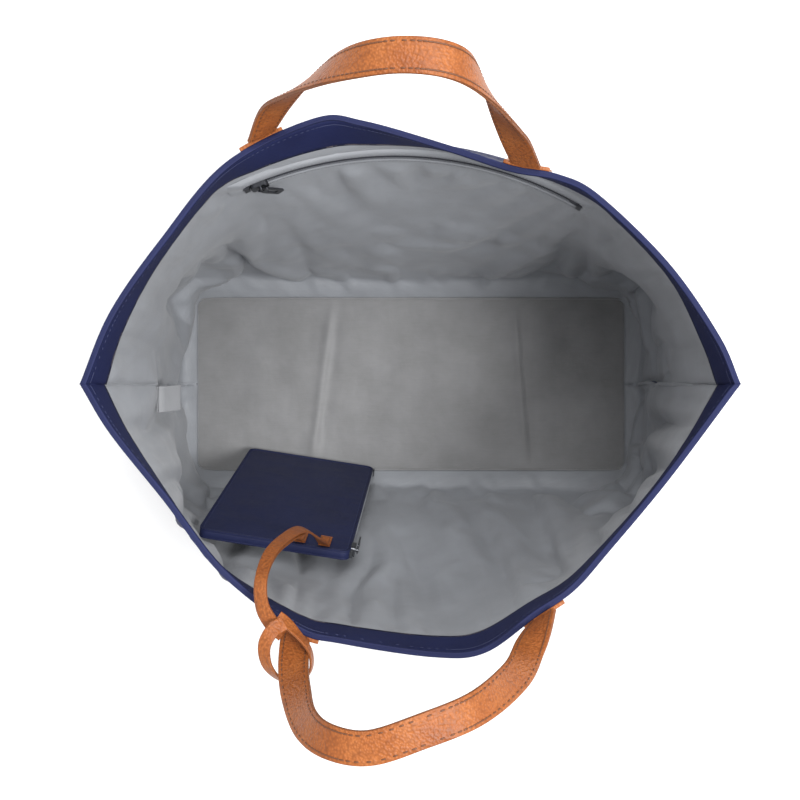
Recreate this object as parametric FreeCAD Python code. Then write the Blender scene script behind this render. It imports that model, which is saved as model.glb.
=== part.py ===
import FreeCAD, Part
import math
import os
from FreeCAD import Vector

# Open-topped foldable tote bag with two leather handles, a zip pocket behind the lining
# and a zipped storage pouch on a leather loop strap. Millimetres, +Z up, floor at Z = 0,
# +X to the right and +Y towards the back wall. Origin: middle of the flat bottom.

# Driving dimensions
BAG_HEIGHT = 360.0
BOTTOM_LENGTH = 430.0
BOTTOM_DEPTH = 173.0
BOTTOM_RADIUS = 16.0
OUTER_CLOTH = 1.2
LAYER_GAP = 1.2
TOUCH_GAP = 0.3
LINING_CLOTH = 1.0
FACING_HEIGHT = 30.0
WALL_FOOT = 4.0
STRAP_WIDTH = 20.0
STRAP_LAYER = 1.4
LOOP_WIDTH = 9.5
LOOP_THICKNESS = 1.6

# Levels that shape the walls
FOOT_LEVEL = 12.0
BOX_LEVEL = 110.0
BELLY_LEVEL = 220.0
ZIP_LEVEL = 309.0
ZIP_BAND = 12.0

# The pocket zip runs along an arc about a vertical axis
ZIP_AXIS_X = -11.0
ZIP_AXIS_Y = -102.0
ZIP_RADIUS = 266.0
ZIP_LEAN = math.radians(8.0)
ZIP_FROM = 114.5
ZIP_SWEEP = 55.0
TAPE_HEIGHT = 22.0
TAPE_CLOTH = 0.7
COIL_WIDTH = 4.6
COIL_HEIGHT = 1.8
SLIDER_LENGTH = 13.0
SLIDER_WIDTH = 9.0
SLIDER_HEIGHT = 3.6
RUNNING_GAP = 0.4
PIN_RISE = 1.6

LINING_DEPTH = OUTER_CLOTH + LAYER_GAP
WALL_STACK = LINING_DEPTH + LINING_CLOTH
WALL_ARC_RADIUS = ZIP_RADIUS + TAPE_CLOTH + 1.3 + WALL_STACK

# Each wall panel narrows upwards: its edges, as fractions of the half outline
PANEL_EDGE_FOOT = 0.150
PANEL_EDGE_RIM = 0.264
EDGE_GAP = 0.0012
OUTLINE_STEPS = 240
SIDES = {"left": -1.0, "right": 1.0}

RIM_FRONT = [(-223, 0), (-203, -33), (-167, -78), (-128, -128), (-78, -166), (-46, -175), (16, -184),
             (50, -181), (84, -157), (110, -139), (134, -112), (174, -64), (222, 0)]
RIM_BACK = [(-223, 0), (-203, 48), (-169, 97), (-125, 149), (-65, 179), (-31, 177), (28, 160),
            (68, 147), (100, 141), (127, 127), (174, 81), (208, 32), (222, 0)]
BELLY_FRONT = [(-206, 0), (-192, -76), (-168, -135), (-120, -154), (-43, -166), (40, -164),
               (120, -142), (175, -100), (205, -50), (212, 0)]
BELLY_BACK = [(-206, 0), (-195, 60), (-160, 110), (-100, 136), (-11, 146), (80, 136),
              (150, 105), (195, 60), (212, 0)]

# Handle centre lines, from the left foot to the right foot
BACK_HANDLE = [(-100, 173, 362), (-88, 178, 391), (-70, 180, 430), (-48, 179, 474), (-27, 178, 499),
               (-5, 178, 508), (17, 176, 508), (33, 173, 495), (46, 169, 460), (61, 161, 412),
               (68, 156, 391), (77, 150, 362)]
FRONT_HANDLE = [(-77, -172, 362), (-76, -183, 391), (-71, -193, 420), (-62, -201, 452), (-47, -205, 472),
                (-24, -206, 480), (5, -197, 480), (38, -187, 468), (64, -178, 430), (77, -170, 391),
                (88, -159, 362)]
# Direction of the strap's width along each handle: along the wall at the feet,
# across the bag at the middle, so that the strap turns by a quarter on each leg
BACK_TWIST = [0, 10, 32, 62, 85, 92, 92, 84, 58, 24, 10, 0]
FRONT_TWIST = [0, 12, 34, 62, 82, 90, 88, 74, 42, 14, 0]
PIVOT_HEIGHT = 391.0
PIVOT_GAP = 3.4
PATCH_WIDTH = 32.0
PATCH_HEIGHT = 50.0

POUCH_WIDTH = 122.0
POUCH_LENGTH = 215.0
POUCH_THICKNESS = 8.0
POUCH_CLOTH = 0.9
POUCH_FOOT = Vector(-98.0, -72.5, 12.0)
POUCH_TURN = -8.5
POUCH_LEAN = 14.4
POUCH_ROLL = -1.0


def lerp(start, end, share):
    return start + (end - start) * share


def save(name, solids):
    shape = solids[0] if len(solids) == 1 else Part.makeCompound(solids)
    shape.exportStep(os.path.join("parts", name + ".step"))


def even_points(wire, steps=OUTLINE_STEPS):
    return [Vector(point.x, point.y, 0) for point in wire.discretize(steps + 1)]


def spline_outline(points):
    curve = Part.BSplineCurve()
    curve.interpolate([Vector(x, y, 0) for x, y in points])
    return even_points(Part.Wire([curve.toShape()]))


def box_outline(half_length, half_depth, radius, side):
    """Half of a rounded rectangle from the left seam to the right seam, on one side of Y = 0."""
    depth = half_depth * side
    turn = radius * side
    slant = radius * (1 - math.sqrt(0.5))
    left = Part.Arc(Vector(-half_length, depth - turn, 0),
                    Vector(-half_length + slant, depth - slant * side, 0),
                    Vector(-half_length + radius, depth, 0))
    right = Part.Arc(Vector(half_length - radius, depth, 0),
                     Vector(half_length - slant, depth - slant * side, 0),
                     Vector(half_length, depth - turn, 0))
    edges = [Part.makeLine(Vector(-half_length, 0, 0), Vector(-half_length, depth - turn, 0)),
             left.toShape(),
             Part.makeLine(Vector(-half_length + radius, depth, 0), Vector(half_length - radius, depth, 0)),
             right.toShape(),
             Part.makeLine(Vector(half_length, depth - turn, 0), Vector(half_length, 0, 0))]
    return even_points(Part.Wire(edges))


def zip_outline(height):
    """Back wall at the pocket zip: an arc about the zip's axis, then soft ends to the seams."""
    radius = WALL_ARC_RADIUS + (height - ZIP_LEVEL) * math.tan(ZIP_LEAN)
    first = math.radians(ZIP_FROM + 4)
    last = math.radians(ZIP_FROM - ZIP_SWEEP - 4)
    count = 9
    arc = []
    for step in range(count):
        angle = lerp(first, last, step / (count - 1))
        arc.append((ZIP_AXIS_X + radius * math.cos(angle), ZIP_AXIS_Y + radius * math.sin(angle)))
    return spline_outline([(-216, 0), (-205, 38), (-180, 88)] + arc + [(186, 76), (207, 30), (217, 0)])


def wall_levels():
    """Outlines of both half shells at the levels that shape them, from the floor up."""
    half_length = BOTTOM_LENGTH / 2
    half_depth = BOTTOM_DEPTH / 2
    front = [(0.0, box_outline(half_length, half_depth, BOTTOM_RADIUS, -1)),
             (FOOT_LEVEL, box_outline(half_length + 7, half_depth + 15, 24, -1)),
             (BOX_LEVEL, box_outline(half_length + 11, half_depth + 30, 44, -1)),
             (BELLY_LEVEL, spline_outline(BELLY_FRONT)),
             (BAG_HEIGHT, spline_outline(RIM_FRONT))]
    back = [(0.0, box_outline(half_length, half_depth, BOTTOM_RADIUS, 1)),
            (FOOT_LEVEL, box_outline(half_length + 7, half_depth + 13, 24, 1)),
            (BOX_LEVEL, box_outline(half_length + 11, half_depth + 26, 44, 1)),
            (BELLY_LEVEL, spline_outline(BELLY_BACK)),
            (ZIP_LEVEL - ZIP_BAND, zip_outline(ZIP_LEVEL - ZIP_BAND)),
            (ZIP_LEVEL + ZIP_BAND, zip_outline(ZIP_LEVEL + ZIP_BAND)),
            (BAG_HEIGHT, spline_outline(RIM_BACK))]
    return {"front": front, "back": back}


LEVELS = wall_levels()


def on_outline(outline, share):
    place = min(max(share, 0.0), 1.0) * OUTLINE_STEPS
    index = min(int(place), OUTLINE_STEPS - 1)
    return lerp(outline[index], outline[index + 1], place - index)


def wall_point(wall, share, height):
    """A point of the outer face: share runs 0 to 1 from the left seam to the right seam."""
    levels = LEVELS[wall]
    index = 0
    while index < len(levels) - 2 and levels[index + 1][0] < height:
        index += 1
    low, low_line = levels[index]
    high, high_line = levels[index + 1]
    point = lerp(on_outline(low_line, share), on_outline(high_line, share), (height - low) / (high - low))
    return Vector(point.x, point.y, height)


def outward(wall, share, height):
    """Horizontal outward direction; on a side seam both halves share one mitre direction."""
    step = 0.006
    if share < 1e-6:
        return Vector(-1, 0, 0)
    if share > 1 - 1e-6:
        return Vector(1, 0, 0)
    along = wall_point(wall, min(share + step, 1), height) - wall_point(wall, max(share - step, 0), height)
    side = -1 if wall == "front" else 1
    return Vector(-along.y * side, along.x * side, 0).normalize()


def inside_point(wall, share, height, depth):
    return wall_point(wall, share, height) - outward(wall, share, height) * depth


def panel_edge(height):
    return lerp(PANEL_EDGE_FOOT, PANEL_EDGE_RIM, height / BAG_HEIGHT)


def interpolated(points):
    curve = Part.BSplineCurve()
    curve.interpolate(points)
    return curve.toShape()


def clamped_knots(count):
    """Even knots and their counts for a cubic curve with this many control points."""
    knots = [float(index) for index in range(count - 2)]
    return knots, [4] + [1] * (count - 4) + [4]


def closed_slab(outer, inner):
    """A solid between two equal grids of points: two smooth faces and four ruled edges."""
    faces = []
    for grid in (outer, inner):
        surface = Part.BSplineSurface()
        row_knots, row_counts = clamped_knots(len(grid))
        column_knots, column_counts = clamped_knots(len(grid[0]))
        surface.buildFromPolesMultsKnots(grid, row_counts, column_counts, row_knots, column_knots,
                                         False, False, 3, 3)
        faces.append(surface.toShape())

    def borders(face):
        patch = face.Surface
        u_first, u_last, v_first, v_last = patch.bounds()
        return [patch.uIso(u_first), patch.uIso(u_last), patch.vIso(v_first), patch.vIso(v_last)]

    for one, two in zip(borders(faces[0]), borders(faces[1])):
        faces.append(Part.makeRuledSurface(one.toShape(), two.toShape()))
    shell = Part.makeShell(faces)
    shell.sewShape()
    solid = Part.makeSolid(shell)
    if solid.Volume < 0:
        solid.reverse()
    return solid


def cloth(wall, span, low, high, depth, thickness, columns):
    """A layer of a wall: span gives its first and last share at a height."""
    levels = [FOOT_LEVEL, 30, 65, BOX_LEVEL, 165, BELLY_LEVEL, 260, ZIP_LEVEL - ZIP_BAND, ZIP_LEVEL,
              ZIP_LEVEL + ZIP_BAND, 340]
    heights = [low] + [level for level in levels if low + 4 < level < high - 4] + [high]
    if len(heights) < 4:
        heights = [lerp(low, high, step / 3) for step in range(4)]
    grids = []
    for layer in (depth, depth + thickness):
        grid = []
        for height in heights:
            first, last = span(height)
            shares = [lerp(first, last, step / columns) for step in range(columns + 1)]
            grid.append([inside_point(wall, share, height, layer) for share in shares])
        grids.append(grid)
    return closed_slab(grids[0], grids[1])


def middle_span(height):
    edge = panel_edge(height) + EDGE_GAP
    return edge, 1 - edge


def corner_span(side):
    def span(height):
        edge = panel_edge(height) - EDGE_GAP
        return (0.0, edge) if side == "left" else (1 - edge, 1.0)
    return span


def wall_layers(prefix, low, high, depth, thickness):
    """One layer of the whole bag: front and back middles, and both sides, seam to seam."""
    for wall in ("front", "back"):
        save(prefix + "_" + wall + "_panel", [cloth(wall, middle_span, low, high, depth, thickness, 36)])
    for side in SIDES:
        halves = [cloth(wall, corner_span(side), low, high, depth, thickness, 14) for wall in ("front", "back")]
        save(prefix + "_" + side + "_side", halves)


def rounded_plate(inset, low, thickness):
    half_length = BOTTOM_LENGTH / 2 - inset
    half_depth = BOTTOM_DEPTH / 2 - inset
    radius = max(BOTTOM_RADIUS - inset, 4)
    plate = Part.makeBox(2 * half_length, 2 * half_depth, thickness, Vector(-half_length, -half_depth, low))
    upright = [edge for edge in plate.Edges if abs(edge.Vertexes[0].Z - edge.Vertexes[1].Z) > thickness / 2]
    return plate.makeFillet(radius, upright)


def bag_body():
    wall_layers("outer", WALL_FOOT, BAG_HEIGHT, 0.0, OUTER_CLOTH)
    facing_foot = BAG_HEIGHT - FACING_HEIGHT
    wall_layers("lining", WALL_FOOT, facing_foot - 0.5, LINING_DEPTH, LINING_CLOTH)
    wall_layers("facing", facing_foot, BAG_HEIGHT - 0.5, LINING_DEPTH, LINING_CLOTH)
    save("outer_bottom_panel", [rounded_plate(0.0, 0.0, OUTER_CLOTH)])
    save("lining_bottom_panel", [rounded_plate(3.0, LINING_DEPTH, LINING_CLOTH)])


def ribbon(centres, normals, widths, near, far, half_width):
    """A strap along points: near and far are its two faces' distances along the normal."""
    rails = []
    for edge, depth in ((-1, near), (1, near), (1, far), (-1, far)):
        rails.append(interpolated([point + width * (edge * half_width) + normal * depth
                                   for point, normal, width in zip(centres, normals, widths)]))
    faces = [Part.makeRuledSurface(rails[index], rails[(index + 1) % 4]) for index in range(4)]
    for end in (0, -1):
        corners = [centres[end] + widths[end] * (edge * half_width) + normals[end] * depth
                   for edge, depth in ((-1, near), (1, near), (1, far), (-1, far))]
        faces.append(Part.Face(Part.makePolygon(corners + corners[:1])))
    shell = Part.makeShell(faces)
    shell.sewShape()
    solid = Part.makeSolid(shell)
    if solid.Volume < 0:
        solid.reverse()
    return solid


def strap_frames(centres, twists):
    """Face normals and width directions: with no twist the normal lies across the bag."""
    normals = []
    widths = []
    for index, twist in enumerate(twists):
        ahead = centres[min(index + 1, len(centres) - 1)] - centres[max(index - 1, 0)]
        ahead.normalize()
        across = (Vector(0, 1, 0) - ahead * ahead.y).normalize()
        beside = across.cross(ahead)
        angle = math.radians(twist)
        widths.append(beside * math.cos(angle) + across * math.sin(angle))
        normals.append(across * math.cos(angle) - beside * math.sin(angle))
    return normals, widths


def handle_layer(points, twists, near, far, half_width):
    centres = [Vector(*point) for point in points]
    normals, widths = strap_frames(centres, twists)
    return ribbon(centres, normals, widths, near, far, half_width)


def above_pivot(points, twists):
    """The swinging stretch of a handle, from just above one pivot to just above the other."""
    inner = [index for index, point in enumerate(points) if point[2] > PIVOT_HEIGHT + 5]
    first, last = inner[0], inner[-1]
    left = Vector(*points[first - 1])
    right = Vector(*points[last + 1])
    left_start = left + (Vector(*points[first]) - left).normalize() * PIVOT_GAP
    right_end = right + (Vector(*points[last]) - right).normalize() * PIVOT_GAP
    route = [tuple(left_start)] + points[first:last + 1] + [tuple(right_end)]
    return route, twists[first - 1:last + 2]


def foot_patch(wall, foot, pivot):
    """The strap's end below the pivot with the widened patch that is sewn on the outer panel."""
    top = Vector(*pivot)
    base = Vector(*foot)
    top = top + (base - top).normalize() * PIVOT_GAP
    middle = lerp(top, base, 0.5)
    thickness = 2 * STRAP_LAYER
    shares = [step / OUTLINE_STEPS for step in range(OUTLINE_STEPS + 1)]
    share = min(shares, key=lambda value: abs(wall_point(wall, value, BAG_HEIGHT).x - base.x))
    reach = PATCH_WIDTH / 2 / 600
    rim = wall_point(wall, share + reach, BAG_HEIGHT) - wall_point(wall, share - reach, BAG_HEIGHT)
    turn = -math.degrees(math.atan(rim.y / rim.x))
    stub = handle_layer([tuple(top), tuple(middle), tuple(base)], [0, turn / 2, turn],
                        -STRAP_LAYER, STRAP_LAYER, STRAP_WIDTH / 2)
    gap = 2 * TOUCH_GAP
    grids = []
    for depth in (-gap - thickness, -gap):
        grid = []
        for step in range(7):
            height = BAG_HEIGHT + 1 - PATCH_HEIGHT * (1 - step / 6)
            level = min(height, BAG_HEIGHT)
            row = []
            for column in range(7):
                place = share + reach * (column / 3 - 1)
                point = inside_point(wall, place, level, depth)
                row.append(Vector(point.x, point.y, height))
            grid.append(row)
        grids.append(grid)
    patch = closed_slab(grids[0], grids[1])
    return [patch, stub]


def handles():
    for wall, points, twists in (("back", BACK_HANDLE, BACK_TWIST), ("front", FRONT_HANDLE, FRONT_TWIST)):
        route, turns = above_pivot(points, twists)
        half = STRAP_WIDTH / 2
        save(wall + "_handle_strap", [handle_layer(route, turns, 0.05, STRAP_LAYER, half)])
        save(wall + "_handle_backing", [handle_layer(route, turns, -STRAP_LAYER, -0.05, half)])
        save(wall + "_handle_left_foot", foot_patch(wall, points[0], points[1]))
        save(wall + "_handle_right_foot", foot_patch(wall, points[-1], points[-2]))


def arc_band(radius, thickness, height, from_degrees, sweep, lean, centre_height=ZIP_LEVEL):
    """A band about the zip's axis, leaning outwards as it rises, its outer side at the radius."""
    half = height / 2
    rise = Vector(math.sin(lean), 0, math.cos(lean))
    inward = Vector(-math.cos(lean), 0, math.sin(lean))
    corner = Vector(radius, 0, centre_height)
    points = [corner - rise * half, corner + rise * half,
              corner + rise * half + inward * thickness, corner - rise * half + inward * thickness]
    section = Part.Face(Part.makePolygon(points + points[:1]))
    band = section.revolve(Vector(0, 0, 0), Vector(0, 0, 1), sweep)
    band.rotate(Vector(0, 0, 0), Vector(0, 0, 1), from_degrees)
    band.translate(Vector(ZIP_AXIS_X, ZIP_AXIS_Y, 0))
    return band


def zip_slider_shape(length, width, height, channel_width, channel_height):
    """A slider along X, its face towards +Z at the top, with the channel that the coil runs in."""
    body = Part.makeBox(length, width, height, Vector(-length / 2, -width / 2, 0))
    corners = [edge for edge in body.Edges if abs(edge.Vertexes[0].Z - edge.Vertexes[1].Z) > height / 2]
    body = body.makeFillet(2.4, corners)
    channel = Part.makeBox(length + 2, channel_width, channel_height,
                           Vector(-length / 2 - 1, -channel_width / 2, 0))
    body = body.cut(channel)
    bridge = Part.makeCylinder(1.3, 2.6, Vector(0, 0, height - 0.4))
    return body.fuse(bridge).removeSplitter()


def pull_tab_shape(length, width):
    """A pull hanging along -X from its pin at the origin, lying in the XY plane."""
    outline = Part.makeBox(length, width, 1.2, Vector(-length - 2.5, -width / 2, -0.6))
    upright = [edge for edge in outline.Edges if abs(edge.Vertexes[0].Z - edge.Vertexes[1].Z) > 1]
    tab = outline.makeFillet(width * 0.3, upright)
    slot = Part.makeBox(length * 0.5, width * 0.36, 4, Vector(-length * 0.86, -width * 0.18, -2))
    tab = tab.cut(slot)
    for side in (-1, 1):
        arm = Part.makeBox(5.1, 1.0, 1.2, Vector(-4.3, side * 2.1 - 0.5, -0.6))
        tab = tab.fuse(arm)
    return tab.removeSplitter()


def placed(shape, origin, x_axis, y_axis, z_axis):
    matrix = FreeCAD.Matrix(x_axis.x, y_axis.x, z_axis.x, origin.x,
                            x_axis.y, y_axis.y, z_axis.y, origin.y,
                            x_axis.z, y_axis.z, z_axis.z, origin.z, 0, 0, 0, 1)
    moved = shape.copy()
    moved.Placement = FreeCAD.Placement(matrix).multiply(shape.Placement)
    return moved


def slider_frame(angle_degrees):
    """Travel, up-the-wall and facing directions of the pocket slider at an angle of its arc."""
    angle = math.radians(angle_degrees)
    travel = Vector(math.sin(angle), -math.cos(angle), 0)
    radial = Vector(math.cos(angle), math.sin(angle), 0)
    facing = Vector(0, 0, math.sin(ZIP_LEAN)) - radial * math.cos(ZIP_LEAN)
    return radial, travel, facing.cross(travel), facing


def pocket_zip():
    first = ZIP_FROM - ZIP_SWEEP
    stop_sweep = 0.8
    slider_half = math.degrees(SLIDER_LENGTH / 2 / ZIP_RADIUS)
    tape = arc_band(ZIP_RADIUS + TAPE_CLOTH, TAPE_CLOTH, TAPE_HEIGHT, first, ZIP_SWEEP, ZIP_LEAN)
    coil = arc_band(ZIP_RADIUS - 0.1, COIL_HEIGHT, COIL_WIDTH, first + 1, ZIP_SWEEP - 2, ZIP_LEAN)
    save("pocket_zip_tape", [tape])
    save("pocket_zip_coil", [coil])
    save("pocket_zip_stops", [arc_band(ZIP_RADIUS - 0.1, 2.4, 7.0, start, stop_sweep, ZIP_LEAN)
                              for start in (first + 0.2, ZIP_FROM - 0.2 - stop_sweep)])
    pocket_span = (0.27, 0.73)
    save("pocket_bag", [cloth("back", lambda height: pocket_span, 165, ZIP_LEVEL, OUTER_CLOTH + 0.4, 0.2, 24)])

    rest = ZIP_FROM - 0.2 - stop_sweep - slider_half - 0.3
    radial, travel, up, facing = slider_frame(rest)
    seat = Vector(ZIP_AXIS_X, ZIP_AXIS_Y, ZIP_LEVEL) + radial * ZIP_RADIUS + facing * RUNNING_GAP
    slider = zip_slider_shape(SLIDER_LENGTH, SLIDER_WIDTH, SLIDER_HEIGHT, COIL_WIDTH + 1.2, COIL_HEIGHT + 0.6)
    save("pocket_zip_slider", [placed(slider, seat, travel, up, facing)])
    hang = math.radians(57)
    along = (up * math.sin(hang) - travel * math.cos(hang)).normalize()
    pin = seat + facing * (SLIDER_HEIGHT + PIN_RISE)
    tab = pull_tab_shape(20.0, 7.0)
    save("pocket_zip_pull", [placed(tab, pin, along, facing.cross(along), facing)])


def pouch_frame():
    """Width, inward and lengthwise directions of the pouch as it leans on the front wall."""
    turn = math.radians(POUCH_TURN)
    lean = math.radians(POUCH_LEAN)
    roll = math.radians(POUCH_ROLL)
    level = Vector(math.cos(turn), math.sin(turn), 0)
    away = Vector(math.sin(turn), -math.cos(turn), 0)
    upward = Vector(0, 0, math.cos(lean)) + away * math.sin(lean)
    length = upward * math.cos(roll) + level * math.sin(roll)
    width = level * math.cos(roll) - upward * math.sin(roll)
    return width, length.cross(width), length


def pouch_box(x_from, x_to, y_from, y_to, z_from, z_to):
    return Part.makeBox(x_to - x_from, y_to - y_from, z_to - z_from, Vector(x_from, y_from, z_from))


def pouch():
    width, inward, length = pouch_frame()
    half = POUCH_WIDTH / 2
    back = -POUCH_THICKNESS
    skin = POUCH_CLOTH

    def put(name, *solids):
        save(name, [placed(solid, POUCH_FOOT, width, inward, length) for solid in solids])

    put("pouch_front_panel", pouch_box(-half, half, -skin, 0, 0, POUCH_LENGTH))
    put("pouch_back_panel", pouch_box(-half, half, back, back + skin, 0, POUCH_LENGTH))
    band = pouch_box(-half, half, back + skin, -skin, 0, POUCH_LENGTH)
    hollow = pouch_box(-half + skin, half + 1, back, 0, skin, POUCH_LENGTH - skin)
    put("pouch_edge_band", band.cut(hollow))
    put("pouch_zip_tape", pouch_box(half - skin, half, back + skin, -skin, skin, POUCH_LENGTH - skin))
    middle = back / 2
    put("pouch_zip_coil", pouch_box(half, half + COIL_HEIGHT, middle - COIL_WIDTH / 2, middle + COIL_WIDTH / 2,
                                    8, POUCH_LENGTH - 8))
    put("pouch_zip_stops",
        pouch_box(half, half + 2.4, middle - 3.5, middle + 3.5, 4, 7),
        pouch_box(half, half + 2.4, middle - 3.5, middle + 3.5, POUCH_LENGTH - 7, POUCH_LENGTH - 4))

    slider_z = POUCH_LENGTH - 7 - 0.8 - SLIDER_LENGTH / 2
    seat = POUCH_FOOT + width * (half + RUNNING_GAP) + inward * middle + length * slider_z
    slider = zip_slider_shape(SLIDER_LENGTH, SLIDER_WIDTH, SLIDER_HEIGHT, COIL_WIDTH + 1.2, COIL_HEIGHT + 0.6)
    save("pouch_zip_slider", [placed(slider, seat, length * -1, inward, width)])
    pin = seat + width * (SLIDER_HEIGHT + PIN_RISE)
    tab = pull_tab_shape(20.0, 7.0)
    save("pouch_zip_pull", [placed(tab, pin, length, width.cross(length), width)])

    for index, place in enumerate((20.0, 40.0)):
        anchor = pouch_box(place - LOOP_WIDTH / 2, place + LOOP_WIDTH / 2, TOUCH_GAP, TOUCH_GAP + LOOP_THICKNESS,
                           POUCH_LENGTH - 20, POUCH_LENGTH - 2)
        put("loop_strap_end_" + str(index + 1), anchor)


def loop_strap():
    """The loop's girth hitch about the handle's left leg, and its two legs down to the pouch."""
    leg = Vector(*FRONT_HANDLE[1])
    base = Vector(*FRONT_HANDLE[0])
    centre = lerp(base, leg, 0.45)
    outer = Part.makeBox(28, 12, LOOP_WIDTH, Vector(-14, -6, -LOOP_WIDTH / 2))
    inner = Part.makeBox(28 - 2 * LOOP_THICKNESS, 12 - 2 * LOOP_THICKNESS, LOOP_WIDTH + 2,
                         Vector(-14 + LOOP_THICKNESS, -6 + LOOP_THICKNESS, -LOOP_WIDTH / 2 - 1))
    rise = (leg - base).normalize()
    along = Vector(1, 0, 0) - rise * rise.x
    along.normalize()
    save("loop_strap_noose", [placed(outer.cut(inner), centre, along, rise.cross(along), rise)])

    start = centre + along * -16 + Vector(-1, 4, 2)
    lie = Vector(0.25, 1, 0.35)
    width, inward, length = pouch_frame()
    routes = []
    for place, above in ((20.0, 0.0), (40.0, 3.4)):
        above_cloth = TOUCH_GAP + LOOP_THICKNESS + 1.6
        end = POUCH_FOOT + width * place + inward * above_cloth + length * (POUCH_LENGTH - 4)
        routes.append([start + lie * above,
                       Vector(-101, -154, 379) + lie * above,
                       Vector(-106, -132, 366) + lie * above,
                       Vector(-102, -114, 325) + lie * above,
                       Vector(-93, -108, 285) + lie * above,
                       end + Vector(-7, 14, 28),
                       end])
    legs = []
    for route in routes:
        normals = []
        widths = []
        for index in range(len(route)):
            ahead = (route[min(index + 1, len(route) - 1)] - route[max(index - 1, 0)]).normalize()
            normal = lie - ahead * ahead.dot(lie)
            normal.normalize()
            normals.append(normal)
            widths.append(ahead.cross(normal))
        legs.append(ribbon(route, normals, widths, -LOOP_THICKNESS / 2, LOOP_THICKNESS / 2, LOOP_WIDTH / 2))
    save("loop_strap_leg_1", legs[:1])
    save("loop_strap_leg_2", legs[1:])


def small_trim():
    """A folded care label in the left seam and a thread bar tack on each rim corner."""
    label = Part.makeBox(25, 21, 0.5, Vector(0, 0, 0))
    label.rotate(Vector(0, 0, 0), Vector(0, 1, 0), 40)
    label.translate(Vector(-199, -23, 203))
    save("care_label", [label])
    tacks = []
    for sign in (-1, 1):
        tacks.append(Part.makeBox(1.2, 6, 1.0, Vector(sign * 219.5 - 0.6, -3, BAG_HEIGHT + 0.1)))
    save("rim_bar_tacks", tacks)


os.makedirs("parts", exist_ok=True)
bag_body()
handles()
pocket_zip()
pouch()
loop_strap()
small_trim()
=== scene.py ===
import math

import bpy
import numpy as np
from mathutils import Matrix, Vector, kdtree, noise


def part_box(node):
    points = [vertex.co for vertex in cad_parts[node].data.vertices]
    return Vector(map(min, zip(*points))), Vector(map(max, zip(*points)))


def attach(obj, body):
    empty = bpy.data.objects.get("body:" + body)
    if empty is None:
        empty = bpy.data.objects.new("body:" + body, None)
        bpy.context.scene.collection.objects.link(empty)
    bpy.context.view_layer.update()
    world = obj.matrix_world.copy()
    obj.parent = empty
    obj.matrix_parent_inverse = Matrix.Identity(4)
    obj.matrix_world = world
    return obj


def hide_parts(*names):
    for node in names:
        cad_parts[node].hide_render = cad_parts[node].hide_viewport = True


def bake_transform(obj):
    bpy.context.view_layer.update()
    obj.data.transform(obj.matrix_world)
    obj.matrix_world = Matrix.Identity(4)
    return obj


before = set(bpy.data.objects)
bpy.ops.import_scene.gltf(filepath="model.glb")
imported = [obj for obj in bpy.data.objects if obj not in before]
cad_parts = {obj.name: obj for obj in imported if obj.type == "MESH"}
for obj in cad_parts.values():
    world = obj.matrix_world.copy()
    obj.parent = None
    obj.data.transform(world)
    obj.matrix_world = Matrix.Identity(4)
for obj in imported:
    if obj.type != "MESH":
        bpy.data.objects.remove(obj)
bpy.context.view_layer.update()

MM = 0.001
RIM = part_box("outer_front_panel")[1].z
BOTTOM_HALF_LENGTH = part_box("outer_bottom_panel")[1].x
BOTTOM_HALF_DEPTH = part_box("outer_bottom_panel")[1].y
BOTTOM_RADIUS = 9 * MM
FACING_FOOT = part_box("facing_front_panel")[0].z
FOOT_LEVEL = 17 * MM
BOX_LEVEL = 110 * MM
BELLY_LEVEL = 220 * MM
ZIP_LEVEL = 309 * MM
ZIP_BAND = 12 * MM
ZIP_AXIS = Vector((-11 * MM, -102 * MM, 0))
ZIP_RADIUS = 266 * MM
ZIP_LEAN = math.radians(8)
ZIP_FROM = math.radians(114.5)
ZIP_SWEEP = math.radians(55)
LINING_DEPTH = 2.6 * MM
FACING_DEPTH = 2.0 * MM
WALL_ARC_RADIUS = ZIP_RADIUS + 4.5 * MM
COLUMNS = 220
ROWS = 92

SIDES = {"front": -1, "back": 1}
SWELL = {"front": 34 * MM, "back": 28 * MM}

# Half outlines from the left seam to the right one, in millimetres.
RIM_FRONT = [(-223, 0), (-203, -33), (-167, -78), (-128, -128), (-78, -166), (-46, -175), (16, -184),
             (50, -181), (84, -157), (110, -139), (134, -112), (174, -64), (222, 0)]
RIM_BACK = [(-223, 0), (-203, 48), (-169, 97), (-125, 149), (-65, 179), (-31, 177), (28, 160),
            (68, 147), (100, 141), (127, 127), (174, 81), (208, 32), (222, 0)]
BELLY_FRONT = [(-206, 0), (-192, -76), (-168, -135), (-120, -154), (-43, -166), (40, -164),
               (120, -142), (175, -100), (205, -50), (212, 0)]
BELLY_BACK = [(-206, 0), (-195, 60), (-160, 110), (-100, 136), (-11, 146), (80, 136),
              (150, 105), (195, 60), (212, 0)]


# ---- curves and grids

def even(points, count):
    """Points at even distances along a polyline."""
    points = np.asarray(points, float)
    gaps = np.linalg.norm(np.diff(points, axis=0), axis=1)
    travelled = np.concatenate([[0], np.cumsum(gaps)])
    places = np.linspace(0, travelled[-1], count)
    return np.stack([np.interp(places, travelled, points[:, axis]) for axis in range(points.shape[1])], 1)


def smooth_line(points, count, fine=24):
    """A smooth curve through the points, at even distances."""
    points = np.asarray(points, float)
    padded = np.vstack([2 * points[0] - points[1], points, 2 * points[-1] - points[-2]])
    line = []
    for index in range(1, len(padded) - 2):
        before, start, end, after = padded[index - 1:index + 3]
        for step in range(fine):
            t = step / fine
            square = (2 * before - 5 * start + 4 * end - after) * t ** 2
            cube = (3 * start - before - 3 * end + after) * t ** 3
            line.append(0.5 * (2 * start + (end - before) * t + square + cube))
    line.append(points[-1])
    return even(line, count)


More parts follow.
